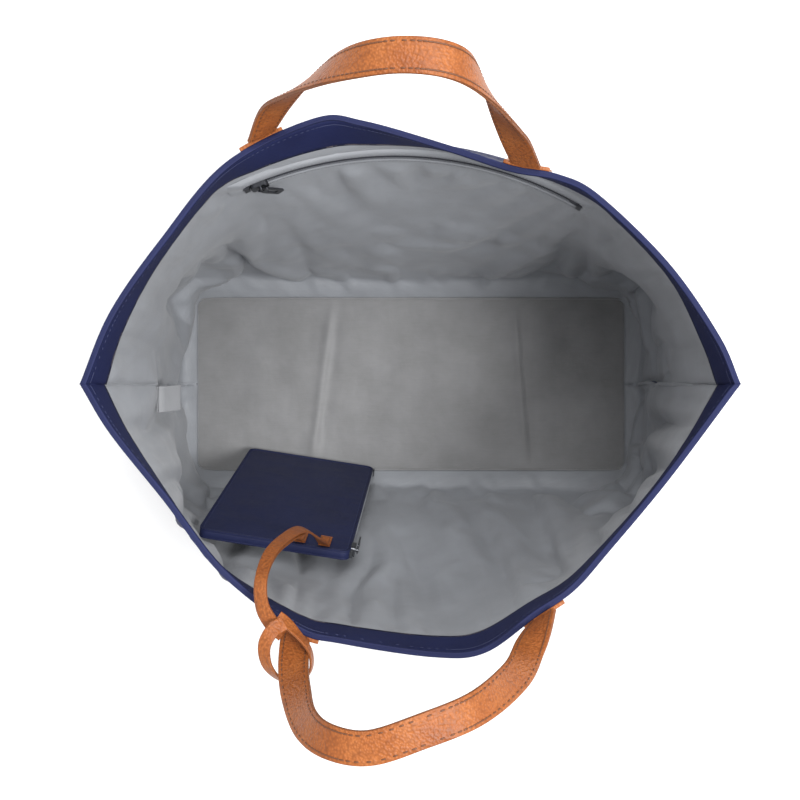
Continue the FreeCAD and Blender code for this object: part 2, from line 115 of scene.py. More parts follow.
def rounded_half(half_length, half_depth, radius, side, count):
    """Half of a rounded rectangle from the left seam round to the right seam."""
    line = [(-half_length, 0)]
    turns = 10
    for step in range(turns + 1):
        angle = math.pi / 2 * step / turns
        line.append((-half_length + radius - radius * math.cos(angle),
                     side * (half_depth - radius + radius * math.sin(angle))))
    for step in range(turns + 1):
        angle = math.pi / 2 * (1 - step / turns)
        line.append((half_length - radius + radius * math.cos(angle),
                     side * (half_depth - radius + radius * math.sin(angle))))
    line.append((half_length, 0))
    return even(line, count)


def zip_level_line(height, count):
    """The back wall's outline near the pocket zip: an arc that leans back above the zip's level."""
    radius = WALL_ARC_RADIUS + (height - ZIP_LEVEL) * math.tan(ZIP_LEAN)
    first = ZIP_FROM + math.radians(4)
    last = ZIP_FROM - ZIP_SWEEP - math.radians(4)
    arc = []
    for angle in np.linspace(first, last, 9):
        arc.append((ZIP_AXIS.x + radius * math.cos(angle), ZIP_AXIS.y + radius * math.sin(angle)))
    left = [(-0.216, 0), (-0.205, 0.038), (-0.180, 0.088)]
    right = [(0.186, 0.076), (0.207, 0.030), (0.217, 0)]
    return smooth_line(left + arc + right, count)


def wall_levels(wall):
    """The heights at which the wall's outline is known, each with that outline."""
    side = SIDES[wall]
    rim, belly = (RIM_FRONT, BELLY_FRONT) if wall == "front" else (RIM_BACK, BELLY_BACK)
    levels = [(0.0, rounded_half(BOTTOM_HALF_LENGTH, BOTTOM_HALF_DEPTH, BOTTOM_RADIUS, side, COLUMNS))]
    for height, longer, deeper, radius in ((FOOT_LEVEL, 7 * MM, 15 * MM, 24 * MM),
                                           (BOX_LEVEL, 11 * MM, SWELL[wall], 44 * MM)):
        levels.append((height, rounded_half(BOTTOM_HALF_LENGTH + longer, BOTTOM_HALF_DEPTH + deeper, radius,
                                            side, COLUMNS)))
    levels.append((BELLY_LEVEL, smooth_line(np.array(belly) * MM, COLUMNS)))
    if wall == "back":
        for height in (ZIP_LEVEL - ZIP_BAND, ZIP_LEVEL + ZIP_BAND):
            levels.append((height, zip_level_line(height, COLUMNS)))
    levels.append((RIM, smooth_line(np.array(rim) * MM, COLUMNS)))
    return levels


def softened(grid, passes):
    """Rounds the corners between the levels and keeps the first and last row."""
    for _ in range(passes):
        grid[1:-1] = 0.25 * grid[:-2] + 0.5 * grid[1:-1] + 0.25 * grid[2:]
    return grid


def wall_surface(wall):
    """The wall's outer face as a grid: rows from the floor to the rim, columns from seam to seam."""
    levels = wall_levels(wall)
    heights = np.array([height for height, _ in levels])
    outlines = np.array([line for _, line in levels])
    rows = []
    for height in np.linspace(0, RIM, ROWS):
        index = min(np.searchsorted(heights, height, side="right") - 1, len(heights) - 2)
        share = (height - heights[index]) / (heights[index + 1] - heights[index])
        line = outlines[index] * (1 - share) + outlines[index + 1] * share
        rows.append(np.column_stack([line, np.full(COLUMNS, height)]))
    return softened(np.array(rows), 10)


def grid_normals(grid, wall):
    """Outward unit normals of a wall grid; both halves agree on the side seams."""
    along = np.gradient(grid, axis=1)
    upward = np.gradient(grid, axis=0)
    normals = np.cross(along, upward)
    if wall == "back":
        normals = -normals
    normals /= np.linalg.norm(normals, axis=2, keepdims=True)
    near = np.minimum(np.arange(COLUMNS), np.arange(COLUMNS)[::-1])
    share = np.clip(1 - near / 3, 0, 1)[None, :, None]
    seam = np.zeros_like(normals)
    seam[:, :COLUMNS // 2, 0] = -1
    seam[:, COLUMNS // 2:, 0] = 1
    normals = normals * (1 - share) + seam * share
    return normals / np.linalg.norm(normals, axis=2, keepdims=True)


# ---- meshes

def mesh_piece(name, points, faces, uvs=None):
    mesh = bpy.data.meshes.new(name)
    mesh.from_pydata([tuple(point) for point in points], [], faces)
    if uvs is not None:
        layer = mesh.uv_layers.new(name="UVMap")
        corners = np.zeros(len(mesh.loops), dtype=np.int32)
        mesh.loops.foreach_get("vertex_index", corners)
        layer.data.foreach_set("uv", np.asarray(uvs, np.float32)[corners].ravel())
    mesh.polygons.foreach_set("use_smooth", [True] * len(mesh.polygons))
    mesh.update()
    piece = bpy.data.objects.new(name, mesh)
    bpy.context.scene.collection.objects.link(piece)
    return piece


def tube_faces(rings, sides, first=0):
    """Quads between closed rings of points."""
    faces = []
    for ring in range(rings - 1):
        for side in range(sides):
            a = first + ring * sides + side
            b = first + ring * sides + (side + 1) % sides
            faces.append((a, b, b + sides, a + sides))
    return faces


def grid_piece(name, grid, flip=False):
    rows, columns = grid.shape[:2]
    faces = []
    for row in range(rows - 1):
        for column in range(columns - 1):
            corner = row * columns + column
            face = (corner, corner + 1, corner + columns + 1, corner + columns)
            faces.append(face[::-1] if flip else face)
    return mesh_piece(name, grid.reshape(-1, 3), faces, grid_uvs(grid).reshape(-1, 2))


def grid_uvs(grid):
    """Texture coordinates in metres of cloth, along and up."""
    along = np.linalg.norm(np.diff(grid, axis=1), axis=2)
    upward = np.linalg.norm(np.diff(grid, axis=0), axis=2)
    across = np.concatenate([np.zeros((grid.shape[0], 1)), np.cumsum(along, axis=1)], 1)
    above = np.concatenate([np.zeros((1, grid.shape[1])), np.cumsum(upward, axis=0)], 0)
    return np.stack([across, above], 2)


def thicken(piece, thickness):
    """Gives cloth its thickness, behind its face."""
    modifier = piece.modifiers.new("thickness", "SOLIDIFY")
    modifier.thickness = thickness
    modifier.offset = -1


def subdivide(piece):
    modifier = piece.modifiers.new("smooth", "SUBSURF")
    modifier.levels = 1
    modifier.render_levels = 1


def finish_piece(piece, material, body=None):
    """Gives a piece its material and the body that it rides on."""
    piece.data.materials.append(material)
    if body:
        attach(piece, body)
    return piece


# ---- materials


def scaled(colour, share):
    return tuple(min(1, value * share) for value in colour)


class Shader:
    """A small helper that adds nodes to a material and links them."""

    def __init__(self, name, colour, roughness, metallic=0.0):
        self.material = bpy.data.materials.new(name)
        self.material.use_nodes = True
        self.tree = self.material.node_tree
        self.shader = self.tree.nodes["Principled BSDF"]
        self.coordinates = self.tree.nodes.new("ShaderNodeTexCoord")
        self.set(Base_Color=colour, Roughness=roughness, Metallic=metallic)

    def feed(self, value, socket):
        """Links an output to a socket, or sets the socket's own value."""
        if isinstance(value, bpy.types.NodeSocket):
            self.tree.links.new(value, socket)
        elif socket.type == "RGBA":
            socket.default_value = (*value, 1)
        else:
            socket.default_value = value

    def fill(self, node, settings):
        """Each setting is a socket of the node, or else one of its properties."""
        for key, value in settings.items():
            name = key.replace("_", " ")
            if name in node.inputs:
                self.feed(value, node.inputs[name])
            else:
                setattr(node, key, value)
        return node

    def set(self, **settings):
        self.fill(self.shader, settings)

    def add(self, kind, **settings):
        return self.fill(self.tree.nodes.new(kind), settings)

    def place(self, space, scale):
        source = self.coordinates.outputs[space]
        return self.add("ShaderNodeMapping", Vector=source, Scale=scale).outputs["Vector"]

    def noise(self, space, scale, detail=3.0, roughness=0.55):
        return self.add("ShaderNodeTexNoise", Vector=self.place(space, scale), Scale=1.0, Detail=detail,
                        Roughness=roughness).outputs["Fac"]

    def wave(self, space, scale, direction):
        return self.add("ShaderNodeTexWave", Vector=self.place(space, scale), Scale=1.0, Distortion=0.0,
                        Detail=1.0, bands_direction=direction).outputs["Fac"]

    def cells(self, space, scale, feature="F1"):
        return self.add("ShaderNodeTexVoronoi", feature=feature, Vector=self.place(space, scale),
                        Scale=1.0).outputs["Distance"]

    def ramp(self, factor, stops):
        node = self.add("ShaderNodeValToRGB", Fac=factor)
        elements = node.color_ramp.elements
        while len(elements) < len(stops):
            elements.new(0.5)
        for element, (position, colour) in zip(elements, stops):
            element.position = position
            element.color = (*colour, 1)
        return node.outputs["Color"]

    def mix(self, factor, first, second):
        node = self.add("ShaderNodeMix", data_type="RGBA")
        for value, index in ((factor, 0), (first, 6), (second, 7)):
            self.feed(value, node.inputs[index])
        return node.outputs[2]

    def maths(self, operation, first, second):
        node = self.add("ShaderNodeMath", operation=operation)
        self.feed(first, node.inputs[0])
        self.feed(second, node.inputs[1])
        return node.outputs[0]

    def bump(self, heights):
        """Bumps as (height output, depth in metres, strength), laid over each other."""
        below = {}
        for height, depth, strength in heights:
            node = self.add("ShaderNodeBump", Strength=strength, Distance=depth, Height=height, **below)
            below = {"Normal": node.outputs["Normal"]}
        self.set(**below)


def woven(name, dark, light, roughness, pitch, sheen, crumple, line_share=0.25):
    """Woven cloth: thread lines both ways, slight mottling and small crumples."""
    cloth = Shader(name, light, roughness)
    scale = 2 * math.pi / 20 / pitch
    warp = cloth.wave("UV", (scale, scale, scale), "X")
    weft = cloth.wave("UV", (scale * 1.13, scale * 1.13, scale), "Y")
    weave = cloth.maths("MULTIPLY", warp, weft)
    mottle = cloth.noise("UV", (26, 26, 26), 5.0)
    streaks = cloth.noise("UV", (60, 900, 60), 2.0)
    tone = cloth.ramp(mottle, [(0.25, dark), (0.75, light)])
    tone = cloth.mix(cloth.maths("MULTIPLY", weave, line_share), tone, scaled(dark, 0.55))
    tone = cloth.mix(cloth.maths("MULTIPLY", streaks, 0.16), tone, scaled(light, 1.5))
    rough = cloth.maths("ADD", cloth.maths("MULTIPLY", mottle, 0.16), roughness - 0.08)
    cloth.set(Base_Color=tone, Roughness=rough, Sheen_Weight=sheen, Sheen_Roughness=0.4,
              Specular_IOR_Level=0.24)
    crumples = cloth.noise("UV", (90, 90, 90), 4.0, 0.6)
    cloth.bump([(weave, 0.00016, 0.5), (crumples, crumple, 0.6)])
    return cloth.material


def leather(name, base, light, dark):
    """Pebbled leather: rounded grains, painted shade darkening the valleys between them, uneven tan tone."""
    hide = Shader(name, base, 0.5)
    grains = hide.cells("UV", (720, 720, 720), "SMOOTH_F1")
    pores = hide.cells("UV", (1500, 1500, 1500))
    patches = hide.noise("UV", (45, 45, 45), 4.0)
    tone = hide.ramp(patches, [(0.2, dark), (0.55, base), (0.85, light)])
    # Painted shade: the colour darkens towards the valleys between the grains.
    tone = hide.mix(hide.maths("MULTIPLY", grains, 0.85), tone, scaled(dark, 0.45))
    rough = hide.maths("ADD", hide.maths("MULTIPLY", patches, 0.2), 0.36)
    hide.set(Base_Color=tone, Roughness=rough, Specular_IOR_Level=0.35)
    height = hide.maths("MULTIPLY", grains, -1.0)
    hide.bump([(height, 0.0007, 0.75), (pores, 0.0002, 0.3), (patches, 0.0008, 0.4)])
    return hide.material


def metal(name, colour, roughness):
    plate = Shader(name, colour, roughness, 1.0)
    scuffs = plate.noise("Object", (900, 900, 900), 4.0)
    brushed = plate.noise("Object", (250, 4000, 250), 2.0)
    tone = plate.ramp(scuffs, [(0.3, scaled(colour, 0.75)), (0.8, colour)])
    rough = plate.maths("ADD", plate.maths("MULTIPLY", scuffs, 0.22), roughness - 0.1)
    plate.set(Base_Color=tone, Roughness=rough)
    plate.bump([(brushed, 0.00004, 0.4)])
    return plate.material


def plain_fibre(name, colour, roughness):
    """Thread, tape and coil: fine fibres with a little colour change."""
    fibre = Shader(name, colour, roughness)
    strands = fibre.noise("Object", (1400, 1400, 1400), 3.0)
    tone = fibre.ramp(strands, [(0.3, scaled(colour, 0.7)), (0.75, colour)])
    fibre.set(Base_Color=tone)
    fibre.bump([(strands, 0.0001, 0.5)])
    return fibre.material


NAVY = woven("navy_nylon", (0.009, 0.012, 0.052), (0.015, 0.021, 0.082), 0.6, 0.0007, 0.0, 0.0007)
POUCH_NAVY = woven("pouch_nylon", (0.009, 0.012, 0.044), (0.016, 0.021, 0.070), 0.5, 0.0007, 0.0, 0.0007)
LINING = woven("grey_lining", (0.27, 0.28, 0.30), (0.345, 0.36, 0.385), 0.36, 0.0009, 0.15, 0.0006, 0.18)
# A darker copy of the grey lining for the bag's floor, with darker thread lines: painted shade, as the floor
# lies deep and dim inside the bag.
SHADED_LINING_BOTTOM = woven("grey_lining_bottom_painted_shade", (0.20, 0.20, 0.20), (0.27, 0.27, 0.275), 0.36, 0.0011, 0.15,
                      0.0006, 0.3)
TAN = leather("tan_leather", (0.41, 0.125, 0.028), (0.50, 0.175, 0.05), (0.30, 0.08, 0.018))
EDGE_PAINT = leather("leather_edge", (0.50, 0.20, 0.085), (0.58, 0.27, 0.13), (0.36, 0.12, 0.045))
GUNMETAL = metal("gunmetal", (0.16, 0.165, 0.18), 0.32)
ZIP_TAPE = plain_fibre("zip_tape", (0.07, 0.075, 0.09), 0.75)
ZIP_COIL = plain_fibre("zip_coil", (0.25, 0.26, 0.29), 0.4)
NAVY_THREAD = plain_fibre("navy_thread", (0.05, 0.06, 0.15), 0.55)
PALE_THREAD = plain_fibre("pale_thread", (0.45, 0.38, 0.36), 0.6)
GREY_THREAD = plain_fibre("grey_thread", (0.22, 0.23, 0.26), 0.6)
BROWN_THREAD = plain_fibre("brown_thread", (0.16, 0.055, 0.02), 0.5)
LABEL_CLOTH = woven("label_cloth", (0.24, 0.245, 0.255), (0.31, 0.315, 0.33), 0.5, 0.0006, 0.2, 0.0002)


# ---- camera, light and floor

CAMERA_HEIGHT = 1.105
CAMERA_LENS = 49.7
CAMERA_SHIFT = (-0.01375, -0.02)
AROUND_LIGHT = 0.85
FLOOR_HALF = 6
FLOOR_GAP = 0.5 * MM


def studio():
    scene = bpy.context.scene
    camera_data = bpy.data.cameras.new("camera")
    camera_data.lens = CAMERA_LENS
    camera_data.sensor_width = 36
    camera_data.shift_x, camera_data.shift_y = CAMERA_SHIFT
    camera = bpy.data.objects.new("camera", camera_data)
    camera.location = (0, 0, CAMERA_HEIGHT)
    scene.collection.objects.link(camera)
    scene.camera = camera

    scene.view_settings.view_transform = "Standard"

    world = bpy.data.worlds.new("studio_light")
    world.use_nodes = True
    background = world.node_tree.nodes["Background"]
    background.inputs["Color"].default_value = (1, 1, 1, 1)
    background.inputs["Strength"].default_value = AROUND_LIGHT
    scene.world = world

    def area(name, place, size, energy, target=(0, 0, 0.1)):
        lamp = bpy.data.lights.new(name, "AREA")
        lamp.energy = energy
        lamp.size = size
        lamp_object = bpy.data.objects.new(name, lamp)
        lamp_object.location = place
        direction = Vector(target) - Vector(place)
        lamp_object.rotation_euler = direction.to_track_quat("-Z", "Y").to_euler()
        scene.collection.objects.link(lamp_object)

    area("key_light", (0.8, -0.25, 1.9), 0.6, 30)
    area("fill_light", (0.1, 0.9, 2.2), 1.0, 24)

    corners = [(x * FLOOR_HALF, y * FLOOR_HALF, 0) for x, y in ((-1, -1), (1, -1), (1, 1), (-1, 1))]
    floor = mesh_piece("floor", corners, [(0, 1, 2, 3)])
    floor.location.z = -FLOOR_GAP
    pale = Shader("pale_floor", (1.0, 1.0, 1.0), 0.8)
    floor.data.materials.append(pale.material)


# ---- cloth wrinkles

def noise_field(grid, scale, seed):
    """Smooth noise for each point of a grid, at a scale in metres."""
    flat = grid.reshape(-1, 3)
    offset = Vector((seed * 7.3, seed * 3.1, seed * 5.7))
    values = [noise.noise(Vector(point) / scale + offset) for point in flat]
    return np.array(values).reshape(grid.shape[:2])


def ridge(grid, start, end, width, bow=0.0):
    """A soft fold line between two points: 1 on the line, fading over its width and at its ends."""
    start, end = np.array(start), np.array(end)
    along = end - start
    length = np.linalg.norm(along)
    along = along / length
    offset = grid - start
    place = offset @ along / length
    off_line = offset - (offset @ along)[..., None] * along
    side = np.cross(along, [0.0, 0.0, 1.0])
    side = side / max(np.linalg.norm(side), 1e-6)
    bend = bow * np.sin(np.pi * np.clip(place, 0, 1))
    distance = np.linalg.norm(off_line - bend[..., None] * side, axis=2)
    ends = np.clip(place * 5, 0, 1) * np.clip((1 - place) * 5, 0, 1)
    ends = np.where((place < 0) | (place > 1), 0, ends)
    return np.exp(-(distance / width) ** 2) * ends


SURFACES = {wall: wall_surface(wall) for wall in SIDES}


def fade(values, low, high):
    return np.clip((values - low) / (high - low), 0, 1)


# The seeds of the broad, fold and sharp noise; then each fold's start and end in metres, and its width, bow
# and rise in millimetres.
SEEDS = {"front": (1, 2, 9), "back": (5, 6, 12)}
FOLDS = {
    "front": [((0.028, -0.112, 0.060), (0.112, -0.150, 0.200), 9, 18, -4.5),
              ((0.066, -0.112, 0.050), (0.018, -0.158, 0.215), 11, -22, -4.0),
              ((-0.022, -0.112, 0.055), (0.020, -0.160, 0.225), 9, 14, 3.5),
              ((0.205, -0.030, 0.245), (0.078, -0.172, 0.285), 11, 10, -5.0),
              ((0.196, -0.045, 0.120), (0.090, -0.140, 0.180), 10, -12, 3.5),
              ((-0.196, -0.050, 0.130), (-0.150, -0.140, 0.250), 10, 10, -4.0)],
    "back": [((-0.150, 0.112, 0.120), (0.090, 0.124, 0.135), 10, 8, -3.5),
             ((-0.060, 0.124, 0.175), (0.150, 0.116, 0.150), 11, -10, 3.5),
             ((-0.180, 0.070, 0.100), (-0.120, 0.136, 0.230), 10, 12, -4.0),
             ((0.190, 0.060, 0.110), (0.120, 0.125, 0.215), 10, -12, 4.0),
             ((0.040, 0.140, 0.200), (0.165, 0.098, 0.262), 9, 8, -3.5)],
}


def wall_wrinkles(wall, grid):
    """How far the soft wall stands out or sinks in, in metres."""
    height = grid[..., 2]
    free = fade(height, 0.0, 0.03) * fade(FACING_FOOT + 2 * MM - height, 0.0, 0.03)
    if wall == "back":
        free = free * (0.15 + 0.85 * fade(np.abs(height - ZIP_LEVEL), 0.012, 0.035))
    broad_seed, fold_seed, sharp_seed = SEEDS[wall]
    broad = noise_field(grid, 0.105, broad_seed)
    folds = noise_field(grid * np.array([1, 1, 1.7]), 0.042, fold_seed)
    sharp = 1 - np.abs(noise_field(grid * np.array([1.3, 1.3, 0.8]), 0.06, sharp_seed)) * 2.2
    sharp = np.clip(sharp, 0, 1) ** 3
    relief = broad * 3.0 * MM + folds * 0.8 * MM + sharp * 0.6 * MM
    for start, end, width, bow, rise in FOLDS[wall]:
        relief = relief + ridge(grid, start, end, width * MM, bow * MM) * rise * MM
    return relief * free


SIM_COLUMNS = 116
SIM_ROWS = 50
SIM_FRAMES = 45
SLACK = 0.04
GRAVITY_SHARE = 0.2
CLOTH = {"quality": 6, "mass": 0.12, "air_damping": 2.0, "tension_stiffness": 12, "compression_stiffness": 12,
         "shear_stiffness": 4, "bending_stiffness": 0.05, "tension_damping": 8, "compression_damping": 8,
         "bending_damping": 0.6, "shrink_min": -SLACK}
FINE_SHARE = 1.7
BROAD_SHARE = 0.15
LARGEST_SHIFT = 10 * MM
POUCH_MIDDLE = -100 * MM
POUCH_REACH = 85 * MM
POUCH_TOP = 260 * MM


def is_held(wall, point):
    """Whether the simulation holds a point of the wall: the rim band, the bottom edge and round the zip."""
    angle = math.atan2(point[1] - ZIP_AXIS.y, point[0] - ZIP_AXIS.x)
    on_arc = abs(angle - ZIP_FROM + ZIP_SWEEP / 2) < 0.5
    at_zip = wall == "back" and on_arc and abs(point[2] - ZIP_LEVEL) < 1.2 * ZIP_BAND
    return at_zip or point[2] > FACING_FOOT - 2 * MM or point[2] < 3 * MM


def blurred(values, passes):
    values = values.copy()
    for _ in range(passes):
        values[:, 1:-1] = 0.25 * values[:, :-2] + 0.5 * values[:, 1:-1] + 0.25 * values[:, 2:]
        values[1:-1] = 0.25 * values[:-2] + 0.5 * values[1:-1] + 0.25 * values[2:]
    return values


def settled(loop, is_front):
    """How far each point of a closed loop of cloth moves in a short simulation."""
    rows, around = loop.shape[:2]
    cloth = mesh_piece("settling_cloth", loop.reshape(-1, 3), tube_faces(rows, around))
    group = cloth.vertex_groups.new(name="held")
    for index, point in enumerate(loop.reshape(-1, 3)):
        if is_held("front" if is_front(index % around) else "back", point):
            group.add([index], 1.0, "REPLACE")
    modifier = cloth.modifiers.new("cloth", "CLOTH")
    for setting, value in CLOTH.items():
        setattr(modifier.settings, setting, value)
    modifier.settings.effector_weights.gravity = GRAVITY_SHARE
    modifier.settings.vertex_group_mass = "held"
    modifier.collision_settings.use_collision = False
    modifier.point_cache.frame_end = SIM_FRAMES
    for frame_number in range(1, SIM_FRAMES + 1):
        bpy.context.scene.frame_set(frame_number)
    result = cloth.evaluated_get(bpy.context.evaluated_depsgraph_get())
    places = np.zeros(len(result.data.vertices) * 3)
    result.data.vertices.foreach_get("co", places)
    moved = (places.reshape(loop.shape) - loop)
    bpy.context.scene.frame_set(1)
    mesh = cloth.data
    bpy.data.objects.remove(cloth)
    bpy.data.meshes.remove(mesh)
    return moved


def settled_offsets():
    """Both walls settle as one loop that is slightly too long for its shape; the fine part of what
    they do is kept stronger than it came, and the broad part weaker."""
    picked = np.unique(np.round(np.linspace(0, COLUMNS - 1, SIM_COLUMNS)).astype(int))
    levels = np.unique(np.round(np.linspace(0, ROWS - 1, SIM_ROWS)).astype(int))
    crumpled = {}
    for wall, grid in SURFACES.items():
        shape = grid + grid_normals(grid, wall) * (1.5 * wall_wrinkles(wall, grid))[..., None]
        crumpled[wall] = shape[levels][:, picked]
    loop = np.concatenate([crumpled["front"], crumpled["back"][:, -2:0:-1]], axis=1)
    moved = settled(loop, lambda column: column < len(picked))

    offsets = {}
    halves = {"front": moved[:, :len(picked)],
              "back": np.concatenate([moved[:, :1], moved[:, :len(picked) - 2:-1]], axis=1)}
    for wall, half in halves.items():
        wide = np.zeros((len(levels), COLUMNS, 3))
        full = np.zeros((ROWS, COLUMNS, 3))
        for axis in range(3):
            for row in range(len(levels)):
                wide[row, :, axis] = np.interp(np.arange(COLUMNS), picked, half[row, :, axis])
            for column in range(COLUMNS):
                full[:, column, axis] = np.interp(np.arange(ROWS), levels, wide[:, column, axis])
        fine = blurred(full, 2)
        broad = blurred(fine, 60)
        offsets[wall] = FINE_SHARE * (fine - broad) + BROAD_SHARE * broad
    return offsets


def behind_zip(grid):
    """The back wall's cloth, moved outwards where it would lie in front of the pocket zip."""
    offset = grid[..., :2] - np.array(ZIP_AXIS[:2])
    reach = np.linalg.norm(offset, axis=2)
    angle = np.arctan2(offset[..., 1], offset[..., 0])
    above = grid[..., 2] - ZIP_LEVEL
    wanted = WALL_ARC_RADIUS + above * math.tan(ZIP_LEAN)
    held = fade(26 * MM - np.abs(above), 0.0, 0.012)
    held = held * fade(ZIP_SWEEP / 2 + 0.09 - np.abs(angle - ZIP_FROM + ZIP_SWEEP / 2), 0.0, 0.08)
    stretch = 1 + (np.maximum(wanted / reach, 1) - 1) * held
    grid[..., :2] = np.array(ZIP_AXIS[:2]) + offset * stretch[..., None]
    return grid


def relaxed_wall(wall, offsets):
    """A wall with its folds and its settled cloth, which stays off the pouch and behind the zip."""
    grid = SURFACES[wall].copy()
    normals = grid_normals(grid, wall)
    height = grid[..., 2]
    loose = fade(height, 0.002, 0.02) * fade(FACING_FOOT - height, 0.0, 0.012)
    shift = offsets[wall] * loose[..., None]
    reach = np.linalg.norm(shift, axis=2, keepdims=True)
    shift = shift * np.minimum(1, LARGEST_SHIFT / np.maximum(reach, 1e-9))
    wrinkles = wall_wrinkles(wall, grid)
    if wall == "front":
        inward = -np.sum(shift * normals, axis=2)
        beside = (np.abs(grid[..., 0] - POUCH_MIDDLE) < POUCH_REACH) & (grid[..., 2] < POUCH_TOP)
        excess = np.where(beside, np.maximum(inward - wrinkles - 1.0 * MM, 0), 0)
        shift = shift + normals * excess[..., None]
    grid = grid + normals * wrinkles[..., None] + shift
    return behind_zip(grid) if wall == "back" else grid


OFFSETS = settled_offsets()
WALLS = {wall: relaxed_wall(wall, OFFSETS) for wall in SIDES}
NORMALS = {wall: grid_normals(WALLS[wall], wall) for wall in WALLS}


def wall_tree(wall):
    points = WALLS[wall].reshape(-1, 3)
    tree = kdtree.KDTree(len(points))
    for index, point in enumerate(points):
        tree.insert(Vector(point), index)
    tree.balance()
    return tree


WALL_TREES = {wall: wall_tree(wall) for wall in WALLS}


def layer(wall, depth, low, high):
    """Part of a wall between two heights, set inwards by a depth."""
    row_low = max(0, int(round(low / RIM * (ROWS - 1))))
    row_high = min(ROWS - 1, int(round(high / RIM * (ROWS - 1))))
    return WALLS[wall][row_low:row_high + 1] - NORMALS[wall][row_low:row_high + 1] * depth


def on_wall(wall, share, height, depth=0.0):
    """A point set inwards from the wall's outer face, and the outward direction there."""
    column = min(max(share, 0), 1) * (COLUMNS - 1)
    row = min(max(height / RIM, 0), 1) * (ROWS - 1)
    column_low, row_low = min(int(column), COLUMNS - 2), min(int(row), ROWS - 2)
    u, v = column - column_low, row - row_low
    result = []
    for source in (WALLS[wall], NORMALS[wall]):
        patch = source[row_low:row_low + 2, column_low:column_low + 2]
        lower = patch[0, 0] * (1 - u) + patch[0, 1] * u
        upper = patch[1, 0] * (1 - u) + patch[1, 1] * u
        result.append(Vector(lower * (1 - v) + upper * v))
    point, normal = result
    normal.normalize()
    return point - normal * depth, normal


def hinge_wall(piece, wall):
    """Moves each vertex to the nearest point of the wall's outer cloth, bakes the piece's transform, and puts
    the vertices back where they were."""
    vertices = piece.data.vertices
    places = [vertex.co.copy() for vertex in vertices]
    for vertex in vertices:
        vertex.co = WALL_TREES[wall].find(vertex.co)[0]
    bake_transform(piece)
    for vertex, place in zip(vertices, places):
        vertex.co = place


# ---- stitches and strips

def capsule_mesh(centres, directions, ups, length, radius, flat=0.6):
    """Many small threads in one mesh: each a six-sided capsule along its direction."""
    rings = [(-0.5, 0.25), (-0.32, 0.9), (0.32, 0.9), (0.5, 0.25)]
    sides = 6
    points, faces = [], []
    for centre, direction, up in zip(centres, directions, ups):
        direction = direction.normalized()
        up = (up - direction * up.dot(direction)).normalized()
        across = direction.cross(up)
        first = len(points)
        for place, share in rings:
            for side in range(sides):
                angle = 2 * math.pi * side / sides
                points.append(centre + direction * (place * length)
                              + across * (math.cos(angle) * radius * share)
                              + up * (math.sin(angle) * radius * share * flat))
        faces += tube_faces(len(rings), sides, first)
        faces.append(tuple(first + side for side in reversed(range(sides))))
        last = first + (len(rings) - 1) * sides
        faces.append(tuple(last + side for side in range(sides)))
    return points, faces


# Each kind of stitch: its pitch, length and radius in millimetres, and its thread.
STITCHES = {"rim": (3.1, 2.3, 0.34, NAVY_THREAD), "facing": (2.2, 2.1, 0.42, PALE_THREAD),
            "strap": (4.2, 3.0, 0.55, BROWN_THREAD), "patch": (3.8, 2.8, 0.42, BROWN_THREAD),
            "pocket": (2.6, 2.1, 0.28, GREY_THREAD), "pouch": (2.6, 2.0, 0.26, NAVY_THREAD),
            "lap": (2.6, 2.0, 0.36, BROWN_THREAD)}


def stitch_row(name, kind, samples, body=None):
    """Stitches along a route of points, each with the direction that its face looks."""
    pitch, length, radius, thread = STITCHES[kind]
    samples = np.array([(*point, *up) for point, up in samples])
    total = np.sum(np.linalg.norm(np.diff(samples[:, :3], axis=0), axis=1))
    line = even(samples, max(2, int(total / (pitch * MM))) * 2 + 1)
    places = [Vector(row[:3]) for row in line]
    directions = [places[index + 1] - places[index - 1] for index in range(1, len(line) - 1, 2)]
    faces_up = [Vector(row[3:]) for row in line[1::2]]
    points, faces = capsule_mesh(places[1::2], directions, faces_up, length * MM, radius * MM)
    return finish_piece(mesh_piece(name, points, faces), thread, body)


def strip(name, centres, across, normals, half_width, thickness, material, body=None):
    """A band with rounded edges: a closed section swept along the centres."""
    section = [(-1, -1), (-1, 1), (-0.94, 1.25), (0, 1.25), (0.94, 1.25), (1, 1), (1, -1), (0.94, -1.25),
               (0, -1.25), (-0.94, -1.25)]
    count = len(section)
    points, uvs = [], []
    travelled = 0.0
    for index, (centre, side, normal) in enumerate(zip(centres, across, normals)):
        if index:
            travelled += (Vector(centre) - Vector(centres[index - 1])).length
        for x, y in section:
            place = Vector(centre) + Vector(side) * (x * half_width)
            points.append(place + Vector(normal) * (y * thickness * 0.4))
            uvs.append((x * half_width + (0.05 if y < 0 else 0), travelled))
    faces = tube_faces(len(centres), count)
    faces.append(tuple(range(count)))
    last = (len(centres) - 1) * count
    faces.append(tuple(last + corner for corner in reversed(range(count))))
    piece = mesh_piece(name, points, faces, uvs)
    subdivide(piece)
    return finish_piece(piece, material, body)


# ---- bag body

def wall_cloth(kind, wall, depth, low, high, thickness, material, foot=None):
    """One cloth layer of a wall; the front one also stands for the CAD's two side pieces."""
    grid = layer(wall, depth, low, high)
    if foot:
        grid[0, :, 2] = foot
    piece = grid_piece(kind + "_" + wall + "_cloth", grid, flip=wall == "back")
    thicken(piece, thickness)
    finish_piece(piece, material)
    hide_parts(kind + "_" + wall + "_panel")
    if wall == "front":
        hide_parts(kind + "_left_side", kind + "_right_side")
    hinge_wall(piece, wall)


def outer_walls():
    for wall in SIDES:
        wall_cloth("outer", wall, 0.0, 0.0, RIM, 1.1 * MM, NAVY, 0.8 * MM)


def lining_walls():
    for wall in SIDES:
        wall_cloth("lining", wall, LINING_DEPTH, 0.0, FACING_FOOT + 3 * MM, 0.6 * MM, LINING, 3.0 * MM)


